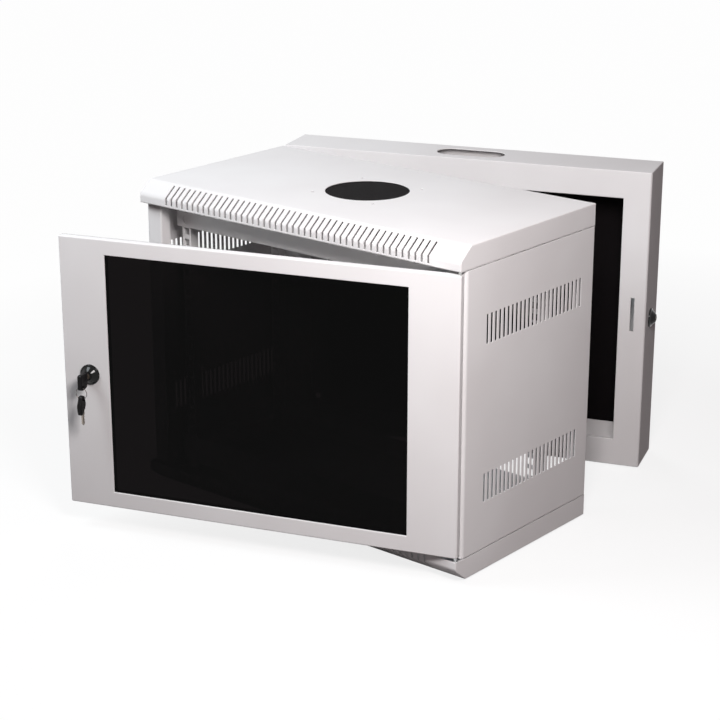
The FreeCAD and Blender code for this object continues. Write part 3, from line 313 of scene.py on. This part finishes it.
nuts, ports = start_tree("hexagon_nuts_on_studs", "Flats", "Height", "Stud", "Length", "Washer",
                         "Sheet")
corner = add_node(nuts, "ShaderNodeMath", {0: ports["Flats"], 1: math.sqrt(3)},
                  operation="DIVIDE")
hexagon = add_node(nuts, "GeometryNodeMeshCylinder", {"Vertices": 6, "Radius": corner.outputs[0],
                                                      "Depth": ports["Height"]})
half = add_node(nuts, "ShaderNodeMath", {0: ports["Height"], 1: 0.5}, operation="MULTIPLY")
lift = add_node(nuts, "ShaderNodeCombineXYZ", {"Z": half.outputs[0]})
tip = add_node(nuts, "GeometryNodeMeshCylinder", {"Vertices": 14, "Radius": ports["Stud"],
                                                  "Depth": ports["Length"]})
washer = add_node(nuts, "GeometryNodeMeshCylinder", {"Vertices": 20, "Radius": ports["Washer"],
                                                     "Depth": ports["Sheet"]})
lack = add_node(nuts, "ShaderNodeMath", {0: ports["Sheet"], 1: ports["Height"]},
                operation="SUBTRACT")
low = add_node(nuts, "ShaderNodeMath", {0: lack.outputs[0], 1: 0.5}, operation="MULTIPLY")
drop = add_node(nuts, "ShaderNodeCombineXYZ", {"Z": low.outputs[0]})
seated = add_node(nuts, "GeometryNodeTransform", {"Geometry": washer.outputs["Mesh"],
                                                  "Translation": drop.outputs[0]})
fastener = add_node(nuts, "GeometryNodeJoinGeometry", {
    "Geometry": [hexagon.outputs["Mesh"], tip.outputs["Mesh"], seated.outputs[0]]})
raised = add_node(nuts, "GeometryNodeTransform", {"Geometry": fastener.outputs[0],
                                                  "Translation": lift.outputs[0]})
spread = add_node(nuts, "GeometryNodeInstanceOnPoints", {"Points": ports["Points"],
                                                         "Instance": raised.outputs[0]})
end_tree(nuts, spread.outputs[0], ports["Material"])

# Middle lines of the four strips in the door's frame; their back is 7.9 mm behind the door's face.
strip_back = 0.0079
lower_strip, upper_strip, left_strip, right_strip = 0.0505, 0.3955, -0.2165, 0.2145
nut_places = [(x, z) for x in (-0.205, -0.065, 0.065, 0.203) for z in (lower_strip, upper_strip)]
nut_places += [(x, z) for x in (left_strip, right_strip) for z in (0.125, 0.223, 0.321)]
facing_back = Matrix(((-1, 0, 0, 0), (0, 0, 1, 0), (0, 1, 0, 0), (0, 0, 0, 1)))
own_piece("retainer_nuts",
          grown("retainer_nuts", nuts, [(-x, z, strip_back) for x, z in nut_places],
                door_place @ facing_back, Flats=0.007, Height=0.0018, Stud=0.00196,
                Length=0.00234, Washer=0.00462, Sheet=0.00036, Material=zinc),
          zinc, "door", "zinc_plated_steel")

# ---- Screws of the hinges, cams and back panel
# Pressed pan heads with a cross recess, zinc plated. Three hold each hinge leaf, one each cam, and
# eight the back panel.
heads, ports = start_tree("cross_recess_pan_heads", "Radius", "Height")
flat = add_node(heads, "ShaderNodeMath", {0: ports["Height"], 1: ports["Radius"]},
                operation="DIVIDE")
squash = add_node(heads, "ShaderNodeCombineXYZ", {"X": 1.0, "Y": 1.0, "Z": flat.outputs[0]})
ball = add_node(heads, "GeometryNodeMeshUVSphere", {"Segments": 24, "Rings": 12,
                                                    "Radius": ports["Radius"]})
dome = add_node(heads, "GeometryNodeTransform", {"Geometry": ball.outputs["Mesh"],
                                                 "Scale": squash.outputs[0]})
# The recess is a cross 1.1 radii across with arms of 0.24 radii, half as deep as the head is high.
# The block cuts the lower half of the flattened ball away.
wide = add_node(heads, "ShaderNodeMath", {0: ports["Radius"], 1: 1.1}, operation="MULTIPLY")
thin = add_node(heads, "ShaderNodeMath", {0: ports["Radius"], 1: 0.24}, operation="MULTIPLY")
base = add_node(heads, "ShaderNodeMath", {0: ports["Radius"], 1: 3.0}, operation="MULTIPLY")
arm_x = add_node(heads, "ShaderNodeCombineXYZ", {"X": wide.outputs[0], "Y": thin.outputs[0],
                                                 "Z": ports["Height"]})
arm_y = add_node(heads, "ShaderNodeCombineXYZ", {"X": thin.outputs[0], "Y": wide.outputs[0],
                                                 "Z": ports["Height"]})
block = add_node(heads, "ShaderNodeCombineXYZ", {"X": base.outputs[0], "Y": base.outputs[0],
                                                 "Z": base.outputs[0]})
sink = add_node(heads, "ShaderNodeMath", {0: ports["Radius"], 1: -1.5}, operation="MULTIPLY")
under = add_node(heads, "ShaderNodeCombineXYZ", {"Z": sink.outputs[0]})
above = add_node(heads, "ShaderNodeCombineXYZ", {"Z": ports["Height"]})
cutters = []
for size, shift in ((arm_x, above), (arm_y, above), (block, under)):
    cube = add_node(heads, "GeometryNodeMeshCube", {"Size": size.outputs[0]})
    cutters.append(add_node(heads, "GeometryNodeTransform", {
        "Geometry": cube.outputs["Mesh"], "Translation": shift.outputs[0]}).outputs[0])
recessed = add_node(heads, "GeometryNodeMeshBoolean", {0: dome.outputs[0], 1: cutters},
                    operation="DIFFERENCE", solver="MANIFOLD")
spread = add_node(heads, "GeometryNodeInstanceOnPoints", {"Points": ports["Points"],
                                                          "Instance": recessed.outputs[0]})
end_tree(heads, spread.outputs[0], ports["Material"])

facing_front = Matrix(((1, 0, 0, 0), (0, 0, -1, 0), (0, 1, 0, 0), (0, 0, 0, 1)))
facing_left = Matrix(((0, 0, -1, 0), (-1, 0, 0, 0), (0, 1, 0, 0), (0, 0, 0, 1)))
panel_face, screw_x, screw_z = 0.0025, 0.234, 0.1785
panel_points = [(x * screw_x, z * screw_z, panel_face) for x in (-1, 0, 1) for z in (-1, 0, 1)
                if x or z]
own_piece("back_panel_screw_heads",
          grown("back_panel_screw_heads", heads, panel_points, facing_front, Radius=0.0035,
                Height=0.002, Material=zinc),
          zinc, "wall_section", "zinc_plated_steel", "back_panel_screws")
leaf_face, hinge_level, screw_step = 0.280, 0.1625, 0.022
levels = [hinge + screw_step * step for hinge in (-hinge_level, hinge_level) for step in (-1, 0, 1)]
for body, leaf_middle, turn in (("wall_section", 0.0625, Matrix()),
                                ("main_section", 0.1035, swing)):
    own_piece(body + "_hinge_screws",
              grown(body + "_hinge_screws", heads, [(leaf_middle, z, leaf_face) for z in levels],
                    turn @ facing_left, Radius=0.004, Height=0.0016, Material=zinc),
              zinc, body, "zinc_plated_steel")

# ---- Door bumpers
# Moulded rubber buffers pressed in holes of the door's corners; the side panels' stiles meet their
# domed ends.
eased_copy("door_bumpers", rubber, 0.0016, segments=4)

# ---- Back panel of the wall section
# One plain sheet of 1 mm steel, sprayed with matt black powder. Eight screws hold it on the rear
# flange of the wall section.
black_coat, tree, place = start_material("matt_black_powder_coat")
grain = add_node(tree, "ShaderNodeTexNoise", {"Vector": place, "Scale": 1 / 0.0016, "Detail": 3.0})
depth = add_node(tree, "ShaderNodeValToRGB", {"Fac": grain.outputs["Fac"]})
depth.color_ramp.elements[0].color = linear("#0E0C0D")
depth.color_ramp.elements[1].color = linear("#171415")
pits = add_node(tree, "ShaderNodeBump", {"Height": grain.outputs["Fac"], "Strength": 0.2,
                                         "Distance": 0.0002})
end_material(tree, add_node(tree, "ShaderNodeBsdfPrincipled", {
    "Base Color": depth.outputs["Color"], "Roughness": 0.62, "Normal": pits.outputs["Normal"],
    "Specular IOR Level": 0.03}))
eased_copy("wall_back_panel", black_coat, 0.0003)

# ---- Mesh of the fan opening
# A stamped frame with fine wires across it, black powder coated and welded under the top cover. The
# wires are 0.9 mm thick at a pitch of 2 mm.
def stamped(name, loops, thickness, edge, place):
    """A flat piece of the given outline and holes, its rims rounded by the radius edge, moved to
    its place. The outline runs anticlockwise and the holes clockwise."""
    curve = bpy.data.curves.new(name, "CURVE")
    curve.dimensions = "2D"
    curve.fill_mode = "BOTH"
    curve.extrude = thickness / 2 - edge
    curve.bevel_depth = edge
    curve.bevel_resolution = 3
    curve.offset = -edge
    for loop in loops:
        spline = curve.splines.new("POLY")
        spline.points.add(len(loop) - 1)
        spline.points.foreach_set("co", [c for x, y in loop for c in (x, y, 0, 1)])
        spline.use_cyclic_u = True
    holder = bpy.data.objects.new(name, curve)
    bpy.context.scene.collection.objects.link(holder)
    graph = bpy.context.evaluated_depsgraph_get()
    mesh = bpy.data.meshes.new_from_object(holder.evaluated_get(graph), depsgraph=graph)
    bpy.data.objects.remove(holder)
    work = bmesh.new()
    work.from_mesh(mesh)
    bmesh.ops.remove_doubles(work, verts=work.verts, dist=1e-6)
    bmesh.ops.recalc_face_normals(work, faces=work.faces)
    work.to_mesh(mesh)
    work.free()
    mesh.name = name
    mesh.transform(place)
    return mesh


def circle(x, y, radius, count):
    """A clockwise ring of points, which makes a hole."""
    angles = [-2 * math.pi * step / count for step in range(count)]
    return [(x + radius * math.cos(a), y + radius * math.sin(a)) for a in angles]


fan_back, mesh_level = 0.1585, 0.4433
frame_half, frame_sheet, fan_opening = 0.061, 0.001, 0.0575
screw_half, screw_radius = 0.0525, 0.00225
over_fan = main_place @ Matrix.Translation((0, fan_back, mesh_level))
rim = [(frame_half, frame_half), (-frame_half, frame_half), (-frame_half, -frame_half),
       (frame_half, -frame_half)]
screw_holes = [circle(x, y, screw_radius, 16) for x in (-screw_half, screw_half)
               for y in (-screw_half, screw_half)]
fan_frame = stamped("fan_mesh_frame", [rim, circle(0, 0, fan_opening, 64)] + screw_holes,
                    frame_sheet, 0.0001, over_fan)

# Wires run one way, each as long as the opening is wide there, and again at right angles to that.
# The two layers are 0.4 of a wire apart, since the wires are pressed together where they cross.
wires, ports = start_tree("crossed_wires_in_a_circle", "Opening", "Pitch", "Wire")
span = add_node(wires, "ShaderNodeMath", {0: ports["Opening"], 1: 2.0}, operation="MULTIPLY")
ratio = add_node(wires, "ShaderNodeMath", {0: span.outputs[0], 1: ports["Pitch"]},
                 operation="DIVIDE")
count = add_node(wires, "FunctionNodeFloatToInt", {0: ratio.outputs[0]}, rounding_mode="FLOOR")
first = add_node(wires, "ShaderNodeMath", {0: count.outputs[0], 1: -0.5}, operation="MULTIPLY")
shift = add_node(wires, "ShaderNodeMath", {0: first.outputs[0], 1: 0.5}, operation="ADD")
begin = add_node(wires, "ShaderNodeMath", {0: shift.outputs[0], 1: ports["Pitch"]},
                 operation="MULTIPLY")
start = add_node(wires, "ShaderNodeCombineXYZ", {"X": begin.outputs[0]})
stride = add_node(wires, "ShaderNodeCombineXYZ", {"X": ports["Pitch"]})
line = add_node(wires, "GeometryNodeMeshLine", {
    "Count": count.outputs[0], "Start Location": start.outputs[0], "Offset": stride.outputs[0]})
across = add_node(wires, "ShaderNodeSeparateXYZ", {
    0: add_node(wires, "GeometryNodeInputPosition").outputs[0]})
square_x = add_node(wires, "ShaderNodeMath", {0: across.outputs["X"], 1: 2.0}, operation="POWER")
square_r = add_node(wires, "ShaderNodeMath", {0: ports["Opening"], 1: 2.0}, operation="POWER")
rest = add_node(wires, "ShaderNodeMath", {0: square_r.outputs[0], 1: square_x.outputs[0]},
                operation="SUBTRACT")
half_chord = add_node(wires, "ShaderNodeMath", {0: rest.outputs[0]}, operation="SQRT")
chord = add_node(wires, "ShaderNodeMath", {0: half_chord.outputs[0], 1: 2.0}, operation="MULTIPLY")
held = add_node(wires, "ShaderNodeMath", {0: chord.outputs[0], 1: ports["Wire"]}, operation="ADD")
stretched = add_node(wires, "ShaderNodeCombineXYZ", {"X": 1.0, "Y": 1.0, "Z": held.outputs[0]})
radius = add_node(wires, "ShaderNodeMath", {0: ports["Wire"], 1: 0.5}, operation="MULTIPLY")
rod = add_node(wires, "GeometryNodeMeshCylinder", {"Vertices": 6, "Radius": radius.outputs[0],
                                                   "Depth": 1.0})
layer = add_node(wires, "GeometryNodeInstanceOnPoints", {
    "Points": line.outputs["Mesh"], "Instance": rod.outputs["Mesh"],
    "Rotation": (math.radians(90), 0, 0), "Scale": stretched.outputs[0]})
sunk = add_node(wires, "ShaderNodeMath", {0: ports["Wire"], 1: -0.2}, operation="MULTIPLY")
lower = add_node(wires, "ShaderNodeCombineXYZ", {"Z": sunk.outputs[0]})
raise_by = add_node(wires, "ShaderNodeMath", {0: ports["Wire"], 1: 0.2}, operation="MULTIPLY")
upper = add_node(wires, "ShaderNodeCombineXYZ", {"Z": raise_by.outputs[0]})
one_way = add_node(wires, "GeometryNodeTransform", {"Geometry": layer.outputs[0],
                                                    "Translation": lower.outputs[0]})
other_way = add_node(wires, "GeometryNodeTransform", {
    "Geometry": layer.outputs[0], "Translation": upper.outputs[0],
    "Rotation": (0, 0, math.radians(90))})
lattice = add_node(wires, "GeometryNodeJoinGeometry", {
    "Geometry": [one_way.outputs[0], other_way.outputs[0]]})
end_tree(wires, lattice.outputs[0], ports["Material"])


def joined(name, *meshes):
    """Several meshes as one."""
    work = bmesh.new()
    for mesh in meshes:
        work.from_mesh(mesh)
        bpy.data.meshes.remove(mesh)
    whole = bpy.data.meshes.new(name)
    work.to_mesh(whole)
    work.free()
    return whole


lattice_mesh = grown("fan_wires", wires, [(0, 0, 0)], over_fan, Opening=fan_opening, Pitch=0.002,
                     Wire=0.0009, Material=black_coat)
own_piece("fan_mesh_of_wire", joined("fan_mesh_of_wire", fan_frame, lattice_mesh), black_coat,
          "main_section", slot_of["fan_mesh"], "fan_mesh")

# ---- Lock bodies
# Cam lock bodies of die-cast zinc with a domed round head and a threaded barrel, stoved in black
# gloss. A nut clamps each behind its sheet. The dome shows sharp, bright reflections.
gloss_black, tree, place = start_material("black_gloss_zinc_casting")
pores = add_node(tree, "ShaderNodeTexNoise", {"Vector": place, "Scale": 1 / 0.003, "Detail": 3.0})
ink = add_node(tree, "ShaderNodeValToRGB", {"Fac": pores.outputs["Fac"]})
ink.color_ramp.elements[0].color = linear("#060506")
ink.color_ramp.elements[1].color = linear("#0C0B0B")
flow = add_node(tree, "ShaderNodeBump", {"Height": pores.outputs["Fac"], "Strength": 0.06,
                                         "Distance": 0.0002})
shine = add_node(tree, "ShaderNodeMapRange", {"Value": pores.outputs["Fac"], "To Min": 0.06,
                                              "To Max": 0.12})
end_material(tree, add_node(tree, "ShaderNodeBsdfPrincipled", {
    "Base Color": ink.outputs["Color"], "Roughness": shine.outputs["Result"], "IOR": 1.5,
    "Specular IOR Level": 0.22, "Normal": flow.outputs["Normal"]}))

# A lock's own frame lies on the outer face of the sheet, with the key pointing to -Y.
front_lock_place = door_place @ Matrix.Translation((-0.2385, 0, half_height))
side_lock_place = (Matrix.Translation((0.278, -0.0455, 0))
                   @ Matrix.Rotation(math.radians(90), 4, "Z"))
locks = (("front", front_lock_place), ("side", side_lock_place))

# Radius and depth in millimetres, from the head's rim over the dome, the lip over the plug, the
# bore and back along the thread, which is 0.45 mm deep and has a pitch of 1 mm.
head = [(9.5, 0), (14, 0), (14, -1.5), (13.7, -2.0), (13.0, -2.4), (11.8, -2.7), (11.3, -2.9),
        (11.0, -3.2), (10.3, -3.9), (9.3, -4.92), (8.2, -6.05), (7.2, -7.03), (6.4, -7.75),
        (5.6, -8.35), (4.9, -8.75), (4.2, -9.0), (4.0, -8.85), (4.0, -8.45), (6.08, -8.45),
        (6.08, 18.5), (9.2, 18.5)]
crest, thread_depth, half_pitch = 9.5, 0.45, 0.5
thread_end, thread_steps = 18, 26
thread = [(crest - thread_depth * (step % 2), thread_end - half_pitch * step)
          for step in range(thread_steps)]
turned_break = math.radians(35)


def revolved(name, profile, count, place):
    """A closed profile of radius and depth turned round the lock's axis, sharp where it breaks."""
    work = bmesh.new()
    rings = []
    for step in range(count):
        angle = 2 * math.pi * step / count
        rings.append([work.verts.new((r * math.cos(angle) / 1000, y / 1000,
                                      r * math.sin(angle) / 1000)) for r, y in profile])
    for step in range(count):
        this, following = rings[step - 1], rings[step]
        for i in range(len(profile)):
            work.faces.new((this[i - 1], this[i], following[i], following[i - 1]))
    bmesh.ops.recalc_face_normals(work, faces=work.faces)
    for face in work.faces:
        face.smooth = True
    for edge in work.edges:
        edge.smooth = edge.calc_face_angle() < turned_break
    mesh = bpy.data.meshes.new(name)
    work.to_mesh(mesh)
    work.free()
    mesh.transform(place)
    return mesh


for side, lock_place in locks:
    node = side + "_lock_body"
    own_piece(side + "_lock_head_and_barrel",
              revolved(side + "_lock_head_and_barrel", head + thread, 56, lock_place),
              gloss_black, body_of[node], slot_of[node], node)

# ---- Plugs and blades
# Brass plugs, turned to fit their barrels, and key blades stamped from brass, all under bright
# nickel. Use has scratched it finely along the blade.
nickel, tree, place = start_material("bright_nickel_plate")
lines = add_node(tree, "ShaderNodeMapping", {"Vector": place, "Scale": (1.0, 1.0, 0.15)})
scratches = add_node(tree, "ShaderNodeTexNoise", {"Vector": lines.outputs["Vector"],
                                                  "Scale": 1 / 0.0006, "Detail": 3.0})
wear = add_node(tree, "ShaderNodeMapRange", {"Value": scratches.outputs["Fac"], "To Min": 0.16,
                                             "To Max": 0.4})
warmth = add_node(tree, "ShaderNodeValToRGB", {"Fac": scratches.outputs["Fac"]})
warmth.color_ramp.elements[0].color = linear("#8E857D")
warmth.color_ramp.elements[1].color = linear("#A8A097")
marks = add_node(tree, "ShaderNodeBump", {"Height": scratches.outputs["Fac"], "Strength": 0.1,
                                          "Distance": 0.0001})
end_material(tree, add_node(tree, "ShaderNodeBsdfPrincipled", {
    "Base Color": warmth.outputs["Color"], "Metallic": 1.0, "Roughness": wear.outputs["Result"],
    "Normal": marks.outputs["Normal"]}))
for node in ("front_lock_plug", "side_lock_plug", "front_key_blade"):
    eased_copy(node, nickel, 0.00015)

# The spare blade is three layers: a core, and cheeks that a milled groove opens. One edge is cut
# in steps for the pins. Points are Y and Z in millimetres in the front lock's frame.
edge_on = front_lock_place @ Matrix(((0, 0, 1, 0), (1, 0, 0, 0), (0, 1, 0, 0), (0, 0, 0, 1)))


def in_metres(points):
    return [(y / 1000, z / 1000) for y, z in points]


bitting = [(-22.1, -38.9), (-22.1, -48.4), (-23.3, -49.6), (-23.3, -51.0), (-22.5, -52.0),
           (-23.6, -53.3), (-23.6, -54.4), (-22.4, -55.7), (-22.4, -56.4), (-23.1, -57.3),
           (-23.1, -58.4), (-22.3, -59.3), (-22.3, -60.3)]
blade = in_metres([(-25.1, -63.4), (-27.6, -60.4), (-27.6, -45.6)] + bitting)[::-1]
groove = in_metres([(-26.3, -46.5), (-25.1, -46.5), (-25.1, -60.4), (-25.7, -61.2), (-26.3, -60.4)])
core_sheet, cheek_sheet = 0.0008, 0.0007
layers = [stamped("spare_blade_core", [blade], core_sheet, 0.0001, edge_on)]
for side in (-1, 1):
    aside = Matrix.Translation((0, 0, side * (core_sheet + cheek_sheet) / 2))
    layers.append(stamped("spare_blade_cheek", [blade, groove], cheek_sheet, 0.00012,
                          edge_on @ aside))
spare_blade = own_piece("spare_blade_cut", joined("spare_blade_cut", *layers), nickel, "spare_key",
                        slot_of["spare_key_blade"], "spare_key_blade")
flat_faces_stay_flat(spare_blade)

# ---- Key bows
# ABS grips moulded round the blades, black, with a fine spark-eroded grain and three ribs for the
# thumb on each side.
abs_plastic, tree, place = start_material("black_grained_abs")
speck = add_node(tree, "ShaderNodeTexNoise", {"Vector": place, "Scale": 1 / 0.0005, "Detail": 2.0})
dark = add_node(tree, "ShaderNodeValToRGB", {"Fac": speck.outputs["Fac"]})
dark.color_ramp.elements[0].color = linear("#090809")
dark.color_ramp.elements[1].color = linear("#110F10")
grained = add_node(tree, "ShaderNodeBump", {"Height": speck.outputs["Fac"], "Strength": 0.25,
                                            "Distance": 0.0001})
end_material(tree, add_node(tree, "ShaderNodeBsdfPrincipled", {
    "Base Color": dark.outputs["Color"], "Roughness": 0.38, "IOR": 1.53,
    "Specular IOR Level": 0.12, "Normal": grained.outputs["Normal"]}))


most_of_a_side, curve_steps = 0.48, 6


def rounded(points, radius):
    """An outline with its corners turned to short curves."""
    outline = []
    for i, corner in enumerate(points):
        before, after = Vector(points[i - 1]), Vector(points[(i + 1) % len(points)])
        corner = Vector(corner)
        shorter = min((before - corner).length, (after - corner).length)
        cut = min(radius, shorter * most_of_a_side)
        a = corner + (before - corner).normalized() * cut
        b = corner + (after - corner).normalized() * cut
        for step in range(curve_steps + 1):
            t = step / curve_steps
            outline.append(tuple(a * (1 - t) ** 2 + corner * 2 * t * (1 - t) + b * t ** 2))
    return outline


shell_thickness, rib_thickness, ring_hole, half_rib = 0.0064, 0.007, 0.0022, 0.45


def bow(name, corners, hole, first_rib, next_rib, along):
    """A grip with a ring hole, and three raised ribs through it that reach along both ways."""
    hole_y, hole_z = in_metres([hole])[0]
    outline = rounded(in_metres(corners), 0.0045)
    parts = [stamped(name + "_shell", [outline, circle(hole_y, hole_z, ring_hole, 24)],
                     shell_thickness, 0.0016, edge_on)]
    along = Vector(along)
    wide = along.orthogonal().normalized() * half_rib
    for step in range(3):
        middle = Vector(first_rib) + step * Vector(next_rib)
        box = [middle - along - wide, middle + along - wide, middle + along + wide,
               middle - along + wide]
        parts.append(stamped(name + "_rib", [rounded(in_metres(box), 0.0008)], rib_thickness,
                             0.0003, edge_on))
    return joined(name, *parts)


front_bow = own_piece("front_bow_moulded", bow(
    "front_bow_moulded", [(-12, 6.75), (-31, 7.92), (-31, -14.08), (-16, -14.08), (-12, -6.75)],
    (-26.6, -9.9), (-18.5, 0.8), (-3.4, 0.2), (0, 4.6)),
    abs_plastic, "front_lock_rotor", slot_of["front_key_bow"], "front_key_bow")
spare_bow = own_piece("spare_bow_moulded", bow(
    "spare_bow_moulded", [(-23.6, -21.4), (-29.6, -21.4), (-36.1, -35), (-33.6, -47.4),
                          (-29.1, -47.4), (-19.1, -35)],
    (-26.6, -25.9), (-27.3, -31.8), (-0.7, -3.4), (5.0, -1.2)),
    abs_plastic, "spare_key", slot_of["spare_key_bow"], "spare_key_bow")
for piece in (front_bow, spare_bow):
    flat_faces_stay_flat(piece)

# ---- Key ring
# A split ring: spring steel wire wound twice round, its turns pressed together and crossing over
# once. Its nickel plate has gone dull and dark grey, with soft streaks along the wire.
dull_nickel, tree, place = start_material("dull_nickel_plated_spring_steel")
streaks = add_node(tree, "ShaderNodeTexNoise", {"Vector": place, "Scale": 1 / 0.0015,
                                                "Detail": 2.0})
film = add_node(tree, "ShaderNodeValToRGB", {"Fac": streaks.outputs["Fac"]})
film.color_ramp.elements[0].color = linear("#5C5755")
film.color_ramp.elements[1].color = linear("#7D7875")
slick = add_node(tree, "ShaderNodeMapRange", {"Value": streaks.outputs["Fac"], "To Min": 0.22,
                                              "To Max": 0.4})
end_material(tree, add_node(tree, "ShaderNodeBsdfPrincipled", {
    "Base Color": film.outputs["Color"], "Metallic": 1.0, "Roughness": slick.outputs["Result"]}))
ring_centre = Vector((0, -0.0266, -0.0182))
ring_radius, wire_radius, half_apart = 0.008, 0.00034, 0.00035
turn_points, wire_start, crossing_start, crossing_length = 44, 0.35, 0.9, 0.2
ring_curve = bpy.data.curves.new("split_ring", "CURVE")
ring_curve.dimensions = "3D"
ring_curve.bevel_depth = wire_radius
ring_curve.bevel_resolution = 3
ring_curve.use_fill_caps = True
spline = ring_curve.splines.new("POLY")
spline.points.add(2 * turn_points - 3)
for step, point in enumerate(spline.points):
    turn = step / turn_points
    angle = 2 * math.pi * (turn + wire_start)
    rise = min(max((turn - crossing_start) / crossing_length, 0), 1)
    aside = half_apart * (2 * rise * rise * (3 - 2 * rise) - 1)
    around = Vector((ring_radius * math.cos(angle), aside, ring_radius * math.sin(angle)))
    point.co = (*(ring_centre + around), 1)
ring_holder = bpy.data.objects.new("split_ring", ring_curve)
bpy.context.scene.collection.objects.link(ring_holder)
ring_mesh = bpy.data.meshes.new_from_object(
    ring_holder.evaluated_get(bpy.context.evaluated_depsgraph_get()))
bpy.data.objects.remove(ring_holder)
ring_mesh.name = "split_ring"
ring_mesh.transform(front_lock_place)
ring_mesh.shade_smooth()
own_piece("split_ring", ring_mesh, dull_nickel, "key_ring", slot_of["key_ring"], "key_ring")

# ---- Cam screws
# The same zinc plated pan heads, driven into the ends of the plugs, hold the cams. A cam turns
# behind its barrel with a little play.
cam_back = 0.0185 + 0.00008 + 0.0025
for side, lock_place in locks:
    node = side + "_cam_screw"
    own_piece(node + "_head",
              grown(node + "_head", heads, [(0, 0, cam_back)], lock_place @ facing_back,
                    Radius=0.0054, Height=0.003, Material=zinc),
              zinc, body_of[node], slot_of[node], node)

# ---- Floor, backdrop and lamps
# A plain pale floor and a white surround. The main lamp stands close, high on the right of the
# front, so that faces fall off in tone downwards and to the left. A cooler lamp on the left and one
# behind keep the tops light.
def soft_lamp(name, place, aim, size, power, colour):
    lamp = bpy.data.objects.new(name, bpy.data.lights.new(name, "AREA"))
    lamp.data.shape = "SQUARE"
    lamp.data.size = size
    lamp.data.energy = power
    lamp.data.color = linear(colour)[:3]
    lamp.location = place
    lamp.rotation_euler = (Vector(aim) - Vector(place)).to_track_quat("-Z", "Y").to_euler()
    bpy.context.scene.collection.objects.link(lamp)


soft_lamp("main_lamp", (0.46, -1.3, 0.78), (0, -0.35, 0.05), 0.36, 15.2, "#FFFAFA")
soft_lamp("left_lamp", (-0.9, -0.85, 1.08), (0, -0.3, 0), 0.6, 11.6, "#F2FBFF")
soft_lamp("back_lamp", (-0.6, 0.8, 0.75), (-0.15, -0.05, 0.1), 0.6, 5.4, "#FCFEFF")


def looked_at(tree):
    """1 for the camera's rays, also when mirrored or seen through glass, and otherwise 0."""
    path = add_node(tree, "ShaderNodeLightPath").outputs
    seen = add_node(tree, "ShaderNodeMath", {0: path["Is Camera Ray"], 1: path["Is Glossy Ray"]},
                    operation="MAXIMUM")
    return add_node(tree, "ShaderNodeMath", {0: seen.outputs[0], 1: path["Is Transmission Ray"]},
                    operation="MAXIMUM").outputs[0]


# Where it is looked at, the floor is white, with a share that takes the cabinet's shadow and fades
# out at a distance. What it throws up under the cabinet is a mid grey.
floor_material, tree, place = start_material("pale_floor")
white = add_node(tree, "ShaderNodeEmission", {"Color": (1, 1, 1, 1), "Strength": 1.0})
away = add_node(tree, "ShaderNodeVectorMath", {0: place}, operation="LENGTH")
share = add_node(tree, "ShaderNodeMapRange", {"Value": away.outputs["Value"], "From Min": 0.5,
                                              "From Max": 1.2, "To Min": 0.2, "To Max": 0.015})
shaded = add_node(tree, "ShaderNodeBsdfDiffuse", {"Color": (1, 1, 1, 1)})
pale = add_node(tree, "ShaderNodeMixShader", {0: share.outputs["Result"],
                                              1: white.outputs["Emission"],
                                              2: shaded.outputs["BSDF"]})
grey = add_node(tree, "ShaderNodeBsdfDiffuse", {"Color": linear("#747171")})
both = add_node(tree, "ShaderNodeMixShader", {0: looked_at(tree), 1: grey.outputs["BSDF"],
                                              2: pale.outputs["Shader"]})
add_node(tree, "ShaderNodeOutputMaterial", {"Surface": both.outputs["Shader"]})
floor_mesh = bpy.data.meshes.new("floor")
floor_half, floor_level = 8, cad_low[2] - 0.002
floor_mesh.from_pydata([(x * floor_half, y * floor_half, floor_level)
                        for x, y in ((-1, -1), (1, -1), (1, 1), (-1, 1))], [], [(0, 1, 2, 3)])
floor_mesh.materials.append(floor_material)
floor = bpy.data.objects.new("floor", floor_mesh)
bpy.context.scene.collection.objects.link(floor)

# The surround is white to look at, and gives the shaded faces a weak, warm light.
world = bpy.data.worlds.new("surround")
bpy.context.scene.world = world
world.use_nodes = True
tree = world.node_tree
tree.nodes.clear()
dim = add_node(tree, "ShaderNodeBackground", {"Color": (1, 0.66, 0.7, 1), "Strength": 0.065})
white = add_node(tree, "ShaderNodeBackground", {"Color": (1, 1, 1, 1), "Strength": 1.0})
sky = add_node(tree, "ShaderNodeMixShader", {0: looked_at(tree), 1: dim.outputs["Background"],
                                             2: white.outputs["Background"]})
add_node(tree, "ShaderNodeOutputWorld", {"Surface": sky.outputs["Shader"]})
